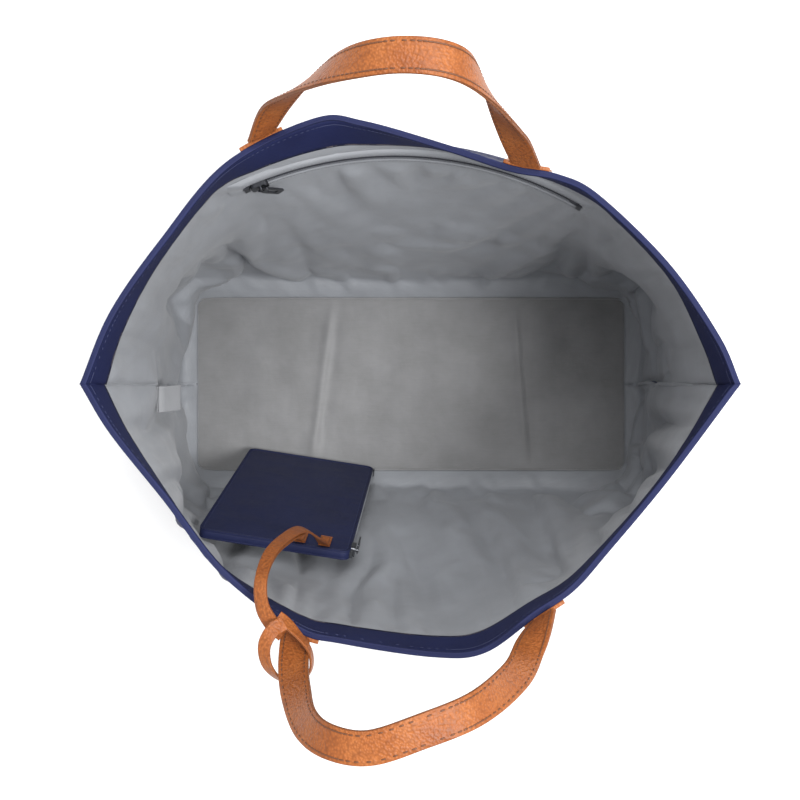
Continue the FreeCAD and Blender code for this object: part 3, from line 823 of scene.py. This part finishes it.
def facings():
    """The stiff navy band inside the rim, the folded rim edge and the seam below the band."""
    rows = (("rim_stitches_inside_", "rim", RIM - 5.5 * MM, 3.65 * MM, -1),
            ("rim_stitches_outside_", "rim", RIM - 5.5 * MM, -0.1 * MM, 1),
            ("rim_stitches_outside_low_", "rim", FACING_FOOT + 3 * MM, -0.1 * MM, 1),
            ("facing_seam_", "facing", FACING_FOOT - 0.4 * MM, 3.3 * MM, -1))
    shares = np.linspace(0, 1, 260)
    for wall in SIDES:
        wall_cloth("facing", wall, FACING_DEPTH, FACING_FOOT, RIM - 1 * MM, 1.5 * MM, NAVY)

        samples = [on_wall(wall, share, RIM) for share in shares]
        centres = [point - normal * (1.8 * MM) + Vector((0, 0, -0.2 * MM)) for point, normal in samples]
        edge = strip("rim_edge_" + wall, centres, [Vector((0, 0, 1))] * len(centres),
                     [normal for _, normal in samples], 1.6 * MM, 4.2 * MM, NAVY)
        hinge_wall(edge, wall)

        for name, kind, height, depth, direction in rows:
            samples = [on_wall(wall, share, height, depth) for share in shares]
            row = stitch_row(name + wall, kind, [(point, normal * direction) for point, normal in samples])
            hinge_wall(row, wall)


def side_seams():
    """The stitched side seams: a thin ridge inside and outside, half on each wall."""
    for label, share in (("left", 0.0), ("right", 1.0)):
        sections = (("inner", LINING, 6 * MM, FACING_FOOT, -3.5 * MM),
                    ("facing", NAVY, FACING_FOOT, RIM - 4 * MM, -3.7 * MM),
                    ("outer", NAVY, 6 * MM, RIM - 4 * MM, 0.1 * MM))
        for section, material, low, high, lift in sections:
            count = 80 if section != "facing" else 12
            centres = []
            for height in np.linspace(low, high, count):
                point, normal = on_wall("front", share, height)
                centres.append(point + normal * lift)
            outward = Vector((-1 if label == "left" else 1, 0, 0))
            strip("side_seam_" + section + "_" + label, centres, [Vector((0, 1, 0))] * count,
                  [outward] * count, 1.5 * MM, 1.3 * MM, material, "base")
        point, _ = on_wall("front", share, RIM - 2 * MM, 2 * MM)
        centres = [point + Vector((0, (index - 2.5) * 0.9 * MM, 2.2 * MM)) for index in range(6)]
        points, faces = capsule_mesh(centres, [Vector((1, 0, 0))] * len(centres),
                                     [Vector((0, 0, 1))] * len(centres), 3.4 * MM, 0.42 * MM)
        tack = mesh_piece("bar_tack_" + label, points, faces)
        finish_piece(tack, PALE_THREAD, "base")
        if label == "left":
            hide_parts("rim_bar_tacks")


def bottom_point(x, y):
    """Height of the lining's bottom: soft bumps and the two storage creases."""
    spot = Vector((x, y, 0))
    edge = min(fade(BOTTOM_HALF_DEPTH - abs(y), 0.0, 0.03), fade(BOTTOM_HALF_LENGTH - abs(x), 0.0, 0.03))
    relief = 1.6 * noise.noise(spot / 0.07) + 0.9 * noise.noise(spot / 0.028 + Vector((4, 2, 1)))
    relief += 2.4 * math.exp(-((x + 0.096) / 0.012) ** 2 - ((y + 0.066) / 0.02) ** 2)
    for crease_x, lean in ((-0.089, 0.010), (0.109, -0.006)):
        offset = x - crease_x - lean * y / 0.08
        relief += 1.5 * math.exp(-(offset / 0.0045) ** 2) - 0.8 * math.exp(-((offset - 0.008) / 0.006) ** 2)
    return 3.2 * MM + max(-0.8, relief) * MM * edge


def bottoms():
    columns, rows = 260, 110
    grid = np.zeros((rows, columns, 3))
    for row, y in enumerate(np.linspace(-1, 1, rows)):
        for column, x in enumerate(np.linspace(-1, 1, columns)):
            depth = y * (BOTTOM_HALF_DEPTH - 1.0 * MM)
            inset = max(0, abs(depth) - (BOTTOM_HALF_DEPTH - BOTTOM_RADIUS))
            round_off = BOTTOM_RADIUS - math.sqrt(max(BOTTOM_RADIUS ** 2 - inset ** 2, 0))
            along = x * (BOTTOM_HALF_LENGTH - 1.0 * MM - round_off)
            grid[row, column] = (along, depth, bottom_point(along, depth))
    piece = grid_piece("lining_bottom_cloth", grid)
    thicken(piece, 0.6 * MM)
    # The floor's lining takes the darker lining copy, which carries painted shade.
    finish_piece(piece, SHADED_LINING_BOTTOM, "base")
    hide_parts("lining_bottom_panel")

    under = grid.copy()
    under[..., 2] = 1.2 * MM
    under[..., :2] *= 1.004
    outer = grid_piece("outer_bottom_cloth", under)
    thicken(outer, 1.15 * MM)
    finish_piece(outer, NAVY, "base")
    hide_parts("outer_bottom_panel")

    length = BOTTOM_HALF_LENGTH - 4 * MM
    count = 60
    for label, side in SIDES.items():
        # The inside seams take the darker lining copy with painted shade too.
        for place, height, depth, material in (("inside", 4.6 * MM, -1.5 * MM, SHADED_LINING_BOTTOM),
                                               ("outside", 1.6 * MM, 0.6 * MM, NAVY)):
            y = side * (BOTTOM_HALF_DEPTH + depth)
            centres = [Vector((x, y, height)) for x in np.linspace(-length, length, count)]
            strip("bottom_seam_" + place + "_" + label, centres, [Vector((0, 1, 0))] * count,
                  [Vector((0, 0, 1))] * count, 1.1 * MM, 1.3 * MM, material, "base")


# ---- handles

STRAP_HALF = 10 * MM
STRAP_LAYER = 1.4 * MM
PATCH_HALF = 16 * MM
PATCH_HEIGHT = 50 * MM
PATCH_RISE = 1.6 * MM
STITCH_INSET = 2.6 * MM

# Each handle's centre line from patch to patch in millimetres, with its twist in degrees.
BACK_HANDLE = [(-100, 173, 362, 0), (-88, 178, 391, 10), (-70, 180, 430, 32), (-48, 179, 474, 62),
               (-27, 178, 499, 85), (-5, 178, 508, 92), (17, 176, 508, 92), (33, 173, 495, 84),
               (46, 169, 460, 58), (61, 161, 412, 24), (68, 156, 391, 10), (77, 150, 362, 0)]
FRONT_HANDLE = [(-77, -172, 362, 0), (-76, -183, 391, 12), (-71, -193, 420, 34), (-62, -201, 452, 62),
                (-47, -205, 472, 82), (-24, -206, 480, 90), (5, -197, 480, 88), (38, -187, 468, 74),
                (64, -178, 430, 42), (77, -170, 391, 14), (88, -159, 362, 0)]


def strap_frame(ahead, turn):
    """Width and face directions of a strap that runs ahead and is twisted by an angle."""
    level = (Vector((0, 1, 0)) - ahead * ahead.y).normalized()
    beside = level.cross(ahead)
    width = beside * math.cos(turn) + level * math.sin(turn)
    return width, level * math.cos(turn) - beside * math.sin(turn)


def rim_share(wall, x):
    """How far along the rim, from seam to seam, the wall has this x."""
    return int(np.argmin(np.abs(WALLS[wall][-1][:, 0] - x))) / (COLUMNS - 1)


def rim_turn(wall, share):
    """The rim's direction there, as an angle from straight along the bag."""
    rim = WALLS[wall][-1]
    column = int(share * (COLUMNS - 1))
    ahead = rim[column + 6] - rim[column - 6]
    return math.atan(ahead[1] / ahead[0])


def handle_route(wall, points):
    """The handle's centre line from one patch to the other, with its twist in radians."""
    route = [[x * MM, y * MM, z * MM, math.radians(turn)] for x, y, z, turn in points]
    for end, sign in ((0, 1), (-1, -1)):
        share = rim_share(wall, route[end][0])
        point, _ = on_wall(wall, share, RIM, -0.4 * MM - STRAP_LAYER)
        route[end][:3] = (point.x, point.y, route[end][2])
        route[end][3] = sign * rim_turn(wall, share)
    route = np.array(route)
    route[:, 3] *= MM
    line = smooth_line(route, 170)
    line[:, 3] /= MM
    return line


def foot_patch(wall, side, x):
    """A leather patch sewn on the outside below the rim, where the strap ends."""
    share = rim_share(wall, x)
    rim_length = np.sum(np.linalg.norm(np.diff(WALLS[wall][-1], axis=0), axis=1))
    columns, rows = 17, 25
    corner = 4 * MM
    inner, outer = [], []

    def patch_point(across, height, depth):
        point, normal = on_wall(wall, share + across / rim_length, min(height, RIM), -depth)
        return point + Vector((0, 0, max(0, height - RIM))), normal

    for height in np.linspace(RIM + PATCH_RISE - PATCH_HEIGHT, RIM + PATCH_RISE, rows):
        low = height - (RIM + PATCH_RISE - PATCH_HEIGHT)
        inset = corner - math.sqrt(max(corner ** 2 - max(corner - low, 0) ** 2, 0))
        places = [place * (PATCH_HALF - inset) for place in np.linspace(-1, 1, columns)]
        inner.append([patch_point(place, height, 0.3 * MM)[0] for place in places])
        outer.append([patch_point(place, height, 3.0 * MM)[0] for place in places])
    name = wall + "_handle_" + side
    patch = slab_piece(name + "_patch", np.array(inner), np.array(outer))
    finish_piece(patch, TAN)
    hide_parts(name + "_foot")
    hinge_wall(patch, wall)

    reach = PATCH_HALF - STITCH_INSET
    low = RIM + PATCH_RISE - PATCH_HEIGHT + STITCH_INSET
    high = RIM - STITCH_INSET
    corners = [(-reach, high), (-reach, low), (reach, low), (reach, high), (-reach, high)]
    samples = [patch_point(across, height, 3.2 * MM) for across, height in even(corners, 120)]
    row = stitch_row(name + "_patch_stitches", "patch", samples)
    hinge_wall(row, wall)


def slab_piece(name, inner, outer):
    """A closed slab between two grids of points, with softly rounded edges."""
    rows, columns = inner.shape[:2]
    count = rows * columns
    faces = []
    for row in range(rows - 1):
        for column in range(columns - 1):
            a = row * columns + column
            faces.append((a, a + columns, a + columns + 1, a + 1))
            faces.append(tuple(count + index for index in (a, a + 1, a + columns + 1, a + columns)))
    border = (list(range(columns))
              + [row * columns + columns - 1 for row in range(1, rows)]
              + [(rows - 1) * columns + column for column in range(columns - 2, -1, -1)]
              + [row * columns for row in range(rows - 2, 0, -1)])
    for index, a in enumerate(border):
        b = border[(index + 1) % len(border)]
        faces.append((a, b, count + b, count + a))
    uvs = grid_uvs(inner).reshape(-1, 2)
    piece = mesh_piece(name, np.concatenate([inner.reshape(-1, 3), outer.reshape(-1, 3)]), faces,
                       np.concatenate([uvs, uvs]))
    bevel = piece.modifiers.new("round", "BEVEL")
    bevel.width = 0.6 * MM
    bevel.segments = 3
    bevel.limit_method = "ANGLE"
    return piece


def swing_with(piece):
    """Bakes the piece's transform into its mesh."""
    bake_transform(piece)


def handles():
    for wall, points in (("back", BACK_HANDLE), ("front", FRONT_HANDLE)):
        line = handle_route(wall, points)
        centres = [Vector(row[:3]) for row in line]
        widths, faces = [], []
        for index, row in enumerate(line):
            ahead = (centres[min(index + 1, len(line) - 1)] - centres[max(index - 1, 0)]).normalized()
            width, face = strap_frame(ahead, row[3])
            widths.append(width)
            faces.append(face)
        for label, side, node in (("strap", 1, "_handle_strap"), ("backing", -1, "_handle_backing")):
            shifted = [centre + face * (side * STRAP_LAYER * 0.53) for centre, face in zip(centres, faces)]
            layer_piece = strip(wall + "_handle_" + label + "_leather", shifted, widths, faces, STRAP_HALF,
                                STRAP_LAYER * 0.98, TAN)
            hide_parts(wall + node)
            swing_with(layer_piece)
            for edge in (-1, 1):
                offset = edge * (STRAP_HALF - STITCH_INSET)
                samples = [(centre + width * offset + face * (side * (STRAP_LAYER * 1.06)), face * side)
                           for centre, width, face in zip(centres, widths, faces)]
                row = stitch_row(wall + "_handle_stitches_" + label + ("_a" if edge < 0 else "_b"), "strap",
                                 samples)
                swing_with(row)
        core = strip(wall + "_handle_edge", centres, widths, faces, STRAP_HALF - 0.15 * MM, STRAP_LAYER * 1.3,
                     EDGE_PAINT)
        swing_with(core)
        foot_patch(wall, "left", points[0][0] * MM)
        foot_patch(wall, "right", points[-1][0] * MM)


# ---- pocket zip

def zip_frame(angle):
    """Outward, along, up and facing directions of the pocket zip at an angle of its arc."""
    radial = Vector((math.cos(angle), math.sin(angle), 0))
    travel = Vector((math.sin(angle), -math.cos(angle), 0))
    facing = Vector((0, 0, math.sin(ZIP_LEAN))) - radial * math.cos(ZIP_LEAN)
    return radial, travel, facing.cross(travel), facing


def zip_point(angle, height, lift):
    radial, _, up, facing = zip_frame(angle)
    return ZIP_AXIS + Vector((0, 0, ZIP_LEVEL)) + radial * ZIP_RADIUS + up * height + facing * lift


TOOTH_PITCH = 0.62 * MM
TOOTH_LENGTH = 2.5 * MM
TOOTH_SHIFT = 0.75 * MM
TOOTH_RADIUS = 0.42 * MM


def coil_piece(name, places, frames, body):
    """Two staggered rows of coil teeth along a line of places."""
    centres = []
    for index, (place, (across, _)) in enumerate(zip(places, frames)):
        side = 1 if index % 2 else -1
        centres.append(place + across * (side * TOOTH_SHIFT))
    points, faces = capsule_mesh(centres, [across for across, _ in frames], [up for _, up in frames],
                                 TOOTH_LENGTH, TOOTH_RADIUS, 0.8)
    return finish_piece(mesh_piece(name, points, faces), ZIP_COIL, body)


def pocket_zip():
    first, last = ZIP_FROM, ZIP_FROM - ZIP_SWEEP
    closing = math.radians(1.2)
    beyond = math.radians(2.2)
    profile = [(3.7, -0.3), (3.6, 0.4), (4.2, 0.9), (6.0, 1.0), (8.4, 0.9), (10.2, 0.4), (11.2, -0.8),
               (11.8, -2.4)]
    sweep = np.linspace(first, last, 160)
    angles = np.linspace(first + beyond, last - beyond, 190)
    for label, side in (("upper", 1), ("lower", -1)):
        rows = []
        for height, lift in profile:
            row = []
            for angle in angles:
                inside = min(first - angle, angle - last)
                open_share = min(max(inside / closing, 0), 1)
                lip = math.sqrt(1 - (1 - open_share) ** 2)
                sink = min(max(-inside / beyond, 0), 1)
                raised = height if height > 5 else height * lip
                row.append(tuple(zip_point(angle, side * raised * MM, (lift * (1 - sink) - 2.4 * sink) * MM)))
            rows.append(row)
        grid = np.array(rows)
        welt = grid_piece("pocket_welt_" + label, grid, flip=side < 0)
        subdivide(welt)
        finish_piece(welt, LINING, "back_wall")
        samples = [(zip_point(angle, side * 6.4 * MM, 1.15 * MM), zip_frame(angle)[3]) for angle in sweep]
        stitch_row("pocket_zip_stitches_" + label, "pocket", samples, "back_wall")

    tape = strip("pocket_tape", [zip_point(angle, 0, 0.0) for angle in sweep],
                 [zip_frame(angle)[2] for angle in sweep], [zip_frame(angle)[3] for angle in sweep],
                 5.5 * MM, 0.6 * MM, ZIP_TAPE, "back_wall")
    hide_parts("pocket_zip_tape")

    teeth = np.arange(last + 2 * closing, first - 2 * closing, TOOTH_PITCH / ZIP_RADIUS)
    coil = coil_piece("pocket_coil", [zip_point(angle, 0, 1.1 * MM) for angle in teeth],
                      [zip_frame(angle)[2:] for angle in teeth], "back_wall")
    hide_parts("pocket_zip_coil")

    first_column, last_column = int(0.27 * COLUMNS), int(0.73 * COLUMNS)
    grid = layer("back", 1.9 * MM, 165 * MM, ZIP_LEVEL)[:, first_column:last_column]
    bag = grid_piece("pocket_cloth", grid, flip=True)
    finish_piece(bag, LINING)
    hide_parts("pocket_bag")
    hinge_wall(bag, "back")


# ---- pouch

POUCH_HALF = 61 * MM
POUCH_LENGTH = 215 * MM
POUCH_THICKNESS = 8 * MM
POUCH_CORNER = 6 * MM
POUCH_FOOT = Vector((-98 * MM, -72.5 * MM, 12 * MM))
POUCH_TURN = math.radians(-8.5)
POUCH_LEAN = math.radians(14.4)
POUCH_ROLL = math.radians(-1)


def pouch_frame():
    """Width, inward and lengthwise directions of the pouch as it leans on the front wall."""
    level = Vector((math.cos(POUCH_TURN), math.sin(POUCH_TURN), 0))
    away = Vector((math.sin(POUCH_TURN), -math.cos(POUCH_TURN), 0))
    upward = Vector((0, 0, math.cos(POUCH_LEAN))) + away * math.sin(POUCH_LEAN)
    length = upward * math.cos(POUCH_ROLL) + level * math.sin(POUCH_ROLL)
    width = level * math.cos(POUCH_ROLL) - upward * math.sin(POUCH_ROLL)
    return width, length.cross(width), length


POUCH_WIDE, POUCH_IN, POUCH_LONG = pouch_frame()


def pouch_point(x, y, z):
    return POUCH_FOOT + POUCH_WIDE * x + POUCH_IN * y + POUCH_LONG * z


def pouch_outline(count, shrink=0.0):
    """The pouch's rounded outline, as places across and along it."""
    half, low, high, radius = POUCH_HALF - shrink, shrink, POUCH_LENGTH - shrink, POUCH_CORNER
    line = []
    for centre_x, centre_z, start in ((half - radius, low + radius, -90), (half - radius, high - radius, 0),
                                      (radius - half, high - radius, 90), (radius - half, low + radius, 180)):
        for step in range(7):
            angle = math.radians(start + 15 * step)
            line.append((centre_x + radius * math.cos(angle), centre_z + radius * math.sin(angle)))
    line.append(line[0])
    return even(line, count)


def pouch_swell(x, z, side):
    """How far a face of the pouch stands from its middle plane."""
    edge = min(POUCH_HALF - abs(x), z, POUCH_LENGTH - z)
    full = 0.80 + 0.2 * fade(edge, 0.0, 0.03)
    spot = Vector((x, z, side * 0.05))
    soft = 0.75 * noise.noise(spot / 0.055) + 0.3 * noise.noise(spot / 0.02 + Vector((3, 1, 2)))
    crease = 1 - abs(noise.noise(Vector((x / 0.09, z / 0.035, side * 2.0)))) * 3
    wander = 2.5 * noise.noise(Vector((z / 0.02, 0, side)))
    gather = math.sin(z / 0.0021 + wander) * math.exp(-(POUCH_HALF - x) / 0.012)
    relief = soft * 1.2 + max(crease, 0) ** 2 * 0.22 + gather * 0.35
    return POUCH_THICKNESS / 2 * full + relief * MM * fade(edge, 0.0, 0.02) * 0.75


def pouch_body():
    columns, rows = 90, 150
    middle = -POUCH_THICKNESS / 2
    for label, side in (("front", 1), ("back", -1)):
        grid = np.zeros((rows, columns, 3))
        for row, z in enumerate(np.linspace(0, POUCH_LENGTH, rows)):
            end = min(z, POUCH_LENGTH - z)
            inset = POUCH_CORNER - math.sqrt(max(POUCH_CORNER ** 2 - max(POUCH_CORNER - end, 0) ** 2, 0))
            for column, share in enumerate(np.linspace(-1, 1, columns)):
                x = share * (POUCH_HALF - inset)
                swell = pouch_swell(x, z, side) if side > 0 else POUCH_THICKNESS * 0.42
                grid[row, column] = pouch_point(x, middle + side * swell, z)
        panel = grid_piece("pouch_" + label + "_cloth", grid, flip=side < 0)
        finish_piece(panel, POUCH_NAVY, "pouch")
        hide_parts("pouch_" + label + "_panel")

    line = pouch_outline(360)
    profile = [(-1, 0), (-0.8, 0.5), (-0.3, 0.9), (0.3, 0.9), (0.8, 0.5), (1, 0)]
    grid = np.zeros((len(profile), len(line), 3))
    for column, (x, z) in enumerate(line):
        ahead = line[(column + 1) % (len(line) - 1)] - line[column - 1 if column else -2]
        outward = Vector((ahead[1], -ahead[0])).normalized()
        for row, (place, bulge) in enumerate(profile):
            lift = bulge * 0.5 * MM
            grid[row, column] = pouch_point(x + outward.x * lift, middle + place * POUCH_THICKNESS * 0.4,
                                            z + outward.y * lift)
    band = grid_piece("pouch_side_cloth", grid, flip=True)
    finish_piece(band, POUCH_NAVY, "pouch")
    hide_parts("pouch_edge_band")

    for label, side in (("front", 1), ("back", -1)):
        centres = [pouch_point(x, middle + side * POUCH_THICKNESS * 0.4, z) for x, z in line]
        normals = []
        for index in range(len(line)):
            ahead = centres[(index + 1) % (len(line) - 1)] - centres[index - 1 if index else -2]
            normals.append(ahead.normalized().cross(POUCH_IN).normalized())
        strip("pouch_seam_" + label, centres, [POUCH_IN] * len(line), normals, 0.7 * MM, 1.3 * MM, POUCH_NAVY,
              "pouch")
        samples = []
        for x, z in pouch_outline(360, 2.2 * MM):
            lift = pouch_swell(x, z, 1) + 0.12 * MM if side > 0 else -(POUCH_THICKNESS * 0.42 + 0.25 * MM)
            samples.append((pouch_point(x, middle + lift, z), POUCH_IN * side))
        stitch_row("pouch_stitches_" + label, "pouch", samples, "pouch")


def pouch_zip():
    middle = -POUCH_THICKNESS / 2
    places = np.linspace(4 * MM, POUCH_LENGTH - 4 * MM, 60)
    tape = strip("pouch_tape", [pouch_point(POUCH_HALF + 0.45 * MM, middle, z) for z in places],
                 [POUCH_IN] * len(places), [POUCH_WIDE] * len(places), 3.1 * MM, 0.5 * MM, ZIP_TAPE, "pouch")
    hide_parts("pouch_zip_tape")
    teeth = np.arange(8 * MM, POUCH_LENGTH - 8 * MM, TOOTH_PITCH)
    coil = coil_piece("pouch_coil", [pouch_point(POUCH_HALF + 1.1 * MM, middle, z) for z in teeth],
                      [(POUCH_IN, POUCH_WIDE)] * len(teeth), "pouch")
    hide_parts("pouch_zip_coil")


# ---- loop strap and label

LOOP_HALF = 4.75 * MM
LOOP_THICKNESS = 1.6 * MM
HITCH_ROUTE = [(-83, -156, 384), (-90, -160, 388), (-95, -170, 390), (-93, -183, 389), (-84, -193, 386),
               (-73, -195, 383), (-66, -188, 380), (-66, -177, 379), (-72, -167, 380), (-81, -158, 379),
               (-88, -154, 377)]
HITCH_LIES = [(0.1, 0.3, 1), (-0.2, 0.1, 1), (-0.5, 0, 1), (-0.6, -0.5, 0.8), (-0.4, -1, 0.4), (0.4, -1, 0.1),
              (1, -0.3, 0.1), (1, 0.3, 0.1), (0.9, 0.6, 0.2), (0.6, 0.7, 0.6), (0.2, 0.5, 1)]
LEG_ROUTE = [(-84, -165, 379), (-91, -159, 380), (-98, -147, 379), (-100, -131, 370), (-97, -118, 345),
             (-90, -112, 312)]
LEG_LIES = [(-0.6, 0.3, 1), (-0.6, 0.3, 1), (-0.6, 0.5, 0.8), (-0.4, 0.9, 0.6), (0, 1, 0.4), (0.2, 1, 0.4),
            (0.3, 1, 0.5), (0.3, 1, 0.6)]


def leather_band(name, route, lies, count):
    """A narrow leather strap along a route, with the direction that its face lies at each point."""
    line = smooth_line(np.hstack([np.array(route, float) * MM, np.array(lies, float) * MM]), count)
    centres = [Vector(row[:3]) for row in line]
    widths, faces = [], []
    for index, row in enumerate(line):
        ahead = (centres[min(index + 1, count - 1)] - centres[max(index - 1, 0)]).normalized()
        face = Vector(row[3:]) / MM
        face = (face - ahead * face.dot(ahead)).normalized()
        faces.append(face)
        widths.append(ahead.cross(face))
    return strip(name, centres, widths, faces, LOOP_HALF, LOOP_THICKNESS, TAN), centres


def loop_strap():
    """The loop's hitch about the handle's left leg and its two legs down to the pouch."""
    noose, _ = leather_band("loop_hitch", HITCH_ROUTE, HITCH_LIES, 110)
    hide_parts("loop_strap_noose")
    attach(noose, "front_wall")

    for number, place, above in (("1", 20.0, 0.0), ("2", 40.0, 2.2)):
        end = pouch_point(place * MM, 1.6 * MM, POUCH_LENGTH - 3 * MM)
        knee = end + Vector((-3, 9, 26)) * MM
        lie = Vector((0.25, 1, 0.35)) * above
        route = [tuple(np.array(point) + np.array(lie)) for point in LEG_ROUTE]
        route += [(-84 + lie.x * 5, -111 + lie.y, 278 + lie.z), tuple(knee / MM), tuple(end / MM)]
        leg, centres = leather_band("loop_leg_" + number, route, LEG_LIES + [tuple(POUCH_IN)], 120)
        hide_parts("loop_strap_leg_" + number)
        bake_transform(leg)

        foot = [pouch_point(place * MM, 1.4 * MM, z * MM) for z in np.linspace(213, 196, 14)]
        lap = strip("loop_lap_" + number, foot, [POUCH_WIDE] * len(foot), [POUCH_IN] * len(foot), LOOP_HALF,
                    LOOP_THICKNESS, TAN, "pouch")
        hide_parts("loop_strap_end_" + number)
        box = [(-3.1, 211), (-3.1, 198), (3.1, 198), (3.1, 211), (-3.1, 211)]
        samples = [(pouch_point((place + x) * MM, 2.3 * MM, z * MM), POUCH_IN) for x, z in even(box, 60)]
        stitch_row("loop_lap_stitches_" + number, "lap", samples, "pouch")


LABEL_WIDTH = 21 * MM
LABEL_LENGTH = 50 * MM
LABEL_ROOT = (-205 * MM, -12.5 * MM, 212 * MM)
LABEL_DROP = 0.83
LABEL_SLANT = 0.56


def care_label():
    """A small folded label that hangs from the left seam."""
    rows, columns = 26, 14
    grid = np.zeros((rows, columns, 3))
    for row, share in enumerate(np.linspace(0, 1, rows)):
        fold = math.pi * share
        reach = LABEL_LENGTH / 2 * math.sin(fold) ** 0.6
        spread = 0.9 * MM * math.cos(fold)
        for column, side in enumerate(np.linspace(-1, 1, columns)):
            curl = 1.4 * MM * side ** 2
            x = LABEL_ROOT[0] + reach * LABEL_SLANT + spread * LABEL_DROP + curl * 0.5
            y = LABEL_ROOT[1] + side * LABEL_WIDTH / 2 + 1.5 * MM * math.sin(fold)
            z = LABEL_ROOT[2] - reach * LABEL_DROP + spread * LABEL_SLANT + curl
            grid[row, column] = (x, y, z)
    label = grid_piece("care_label_cloth", grid)
    thicken(label, 0.25 * MM)
    finish_piece(label, LABEL_CLOTH, "base")
    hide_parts("care_label")


studio()
outer_walls()
lining_walls()
facings()
side_seams()
bottoms()
handles()
pocket_zip()
pouch_body()
pouch_zip()
loop_strap()
care_label()
for name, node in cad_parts.items():
    node.data.materials.clear()
    node.data.materials.append(GUNMETAL)
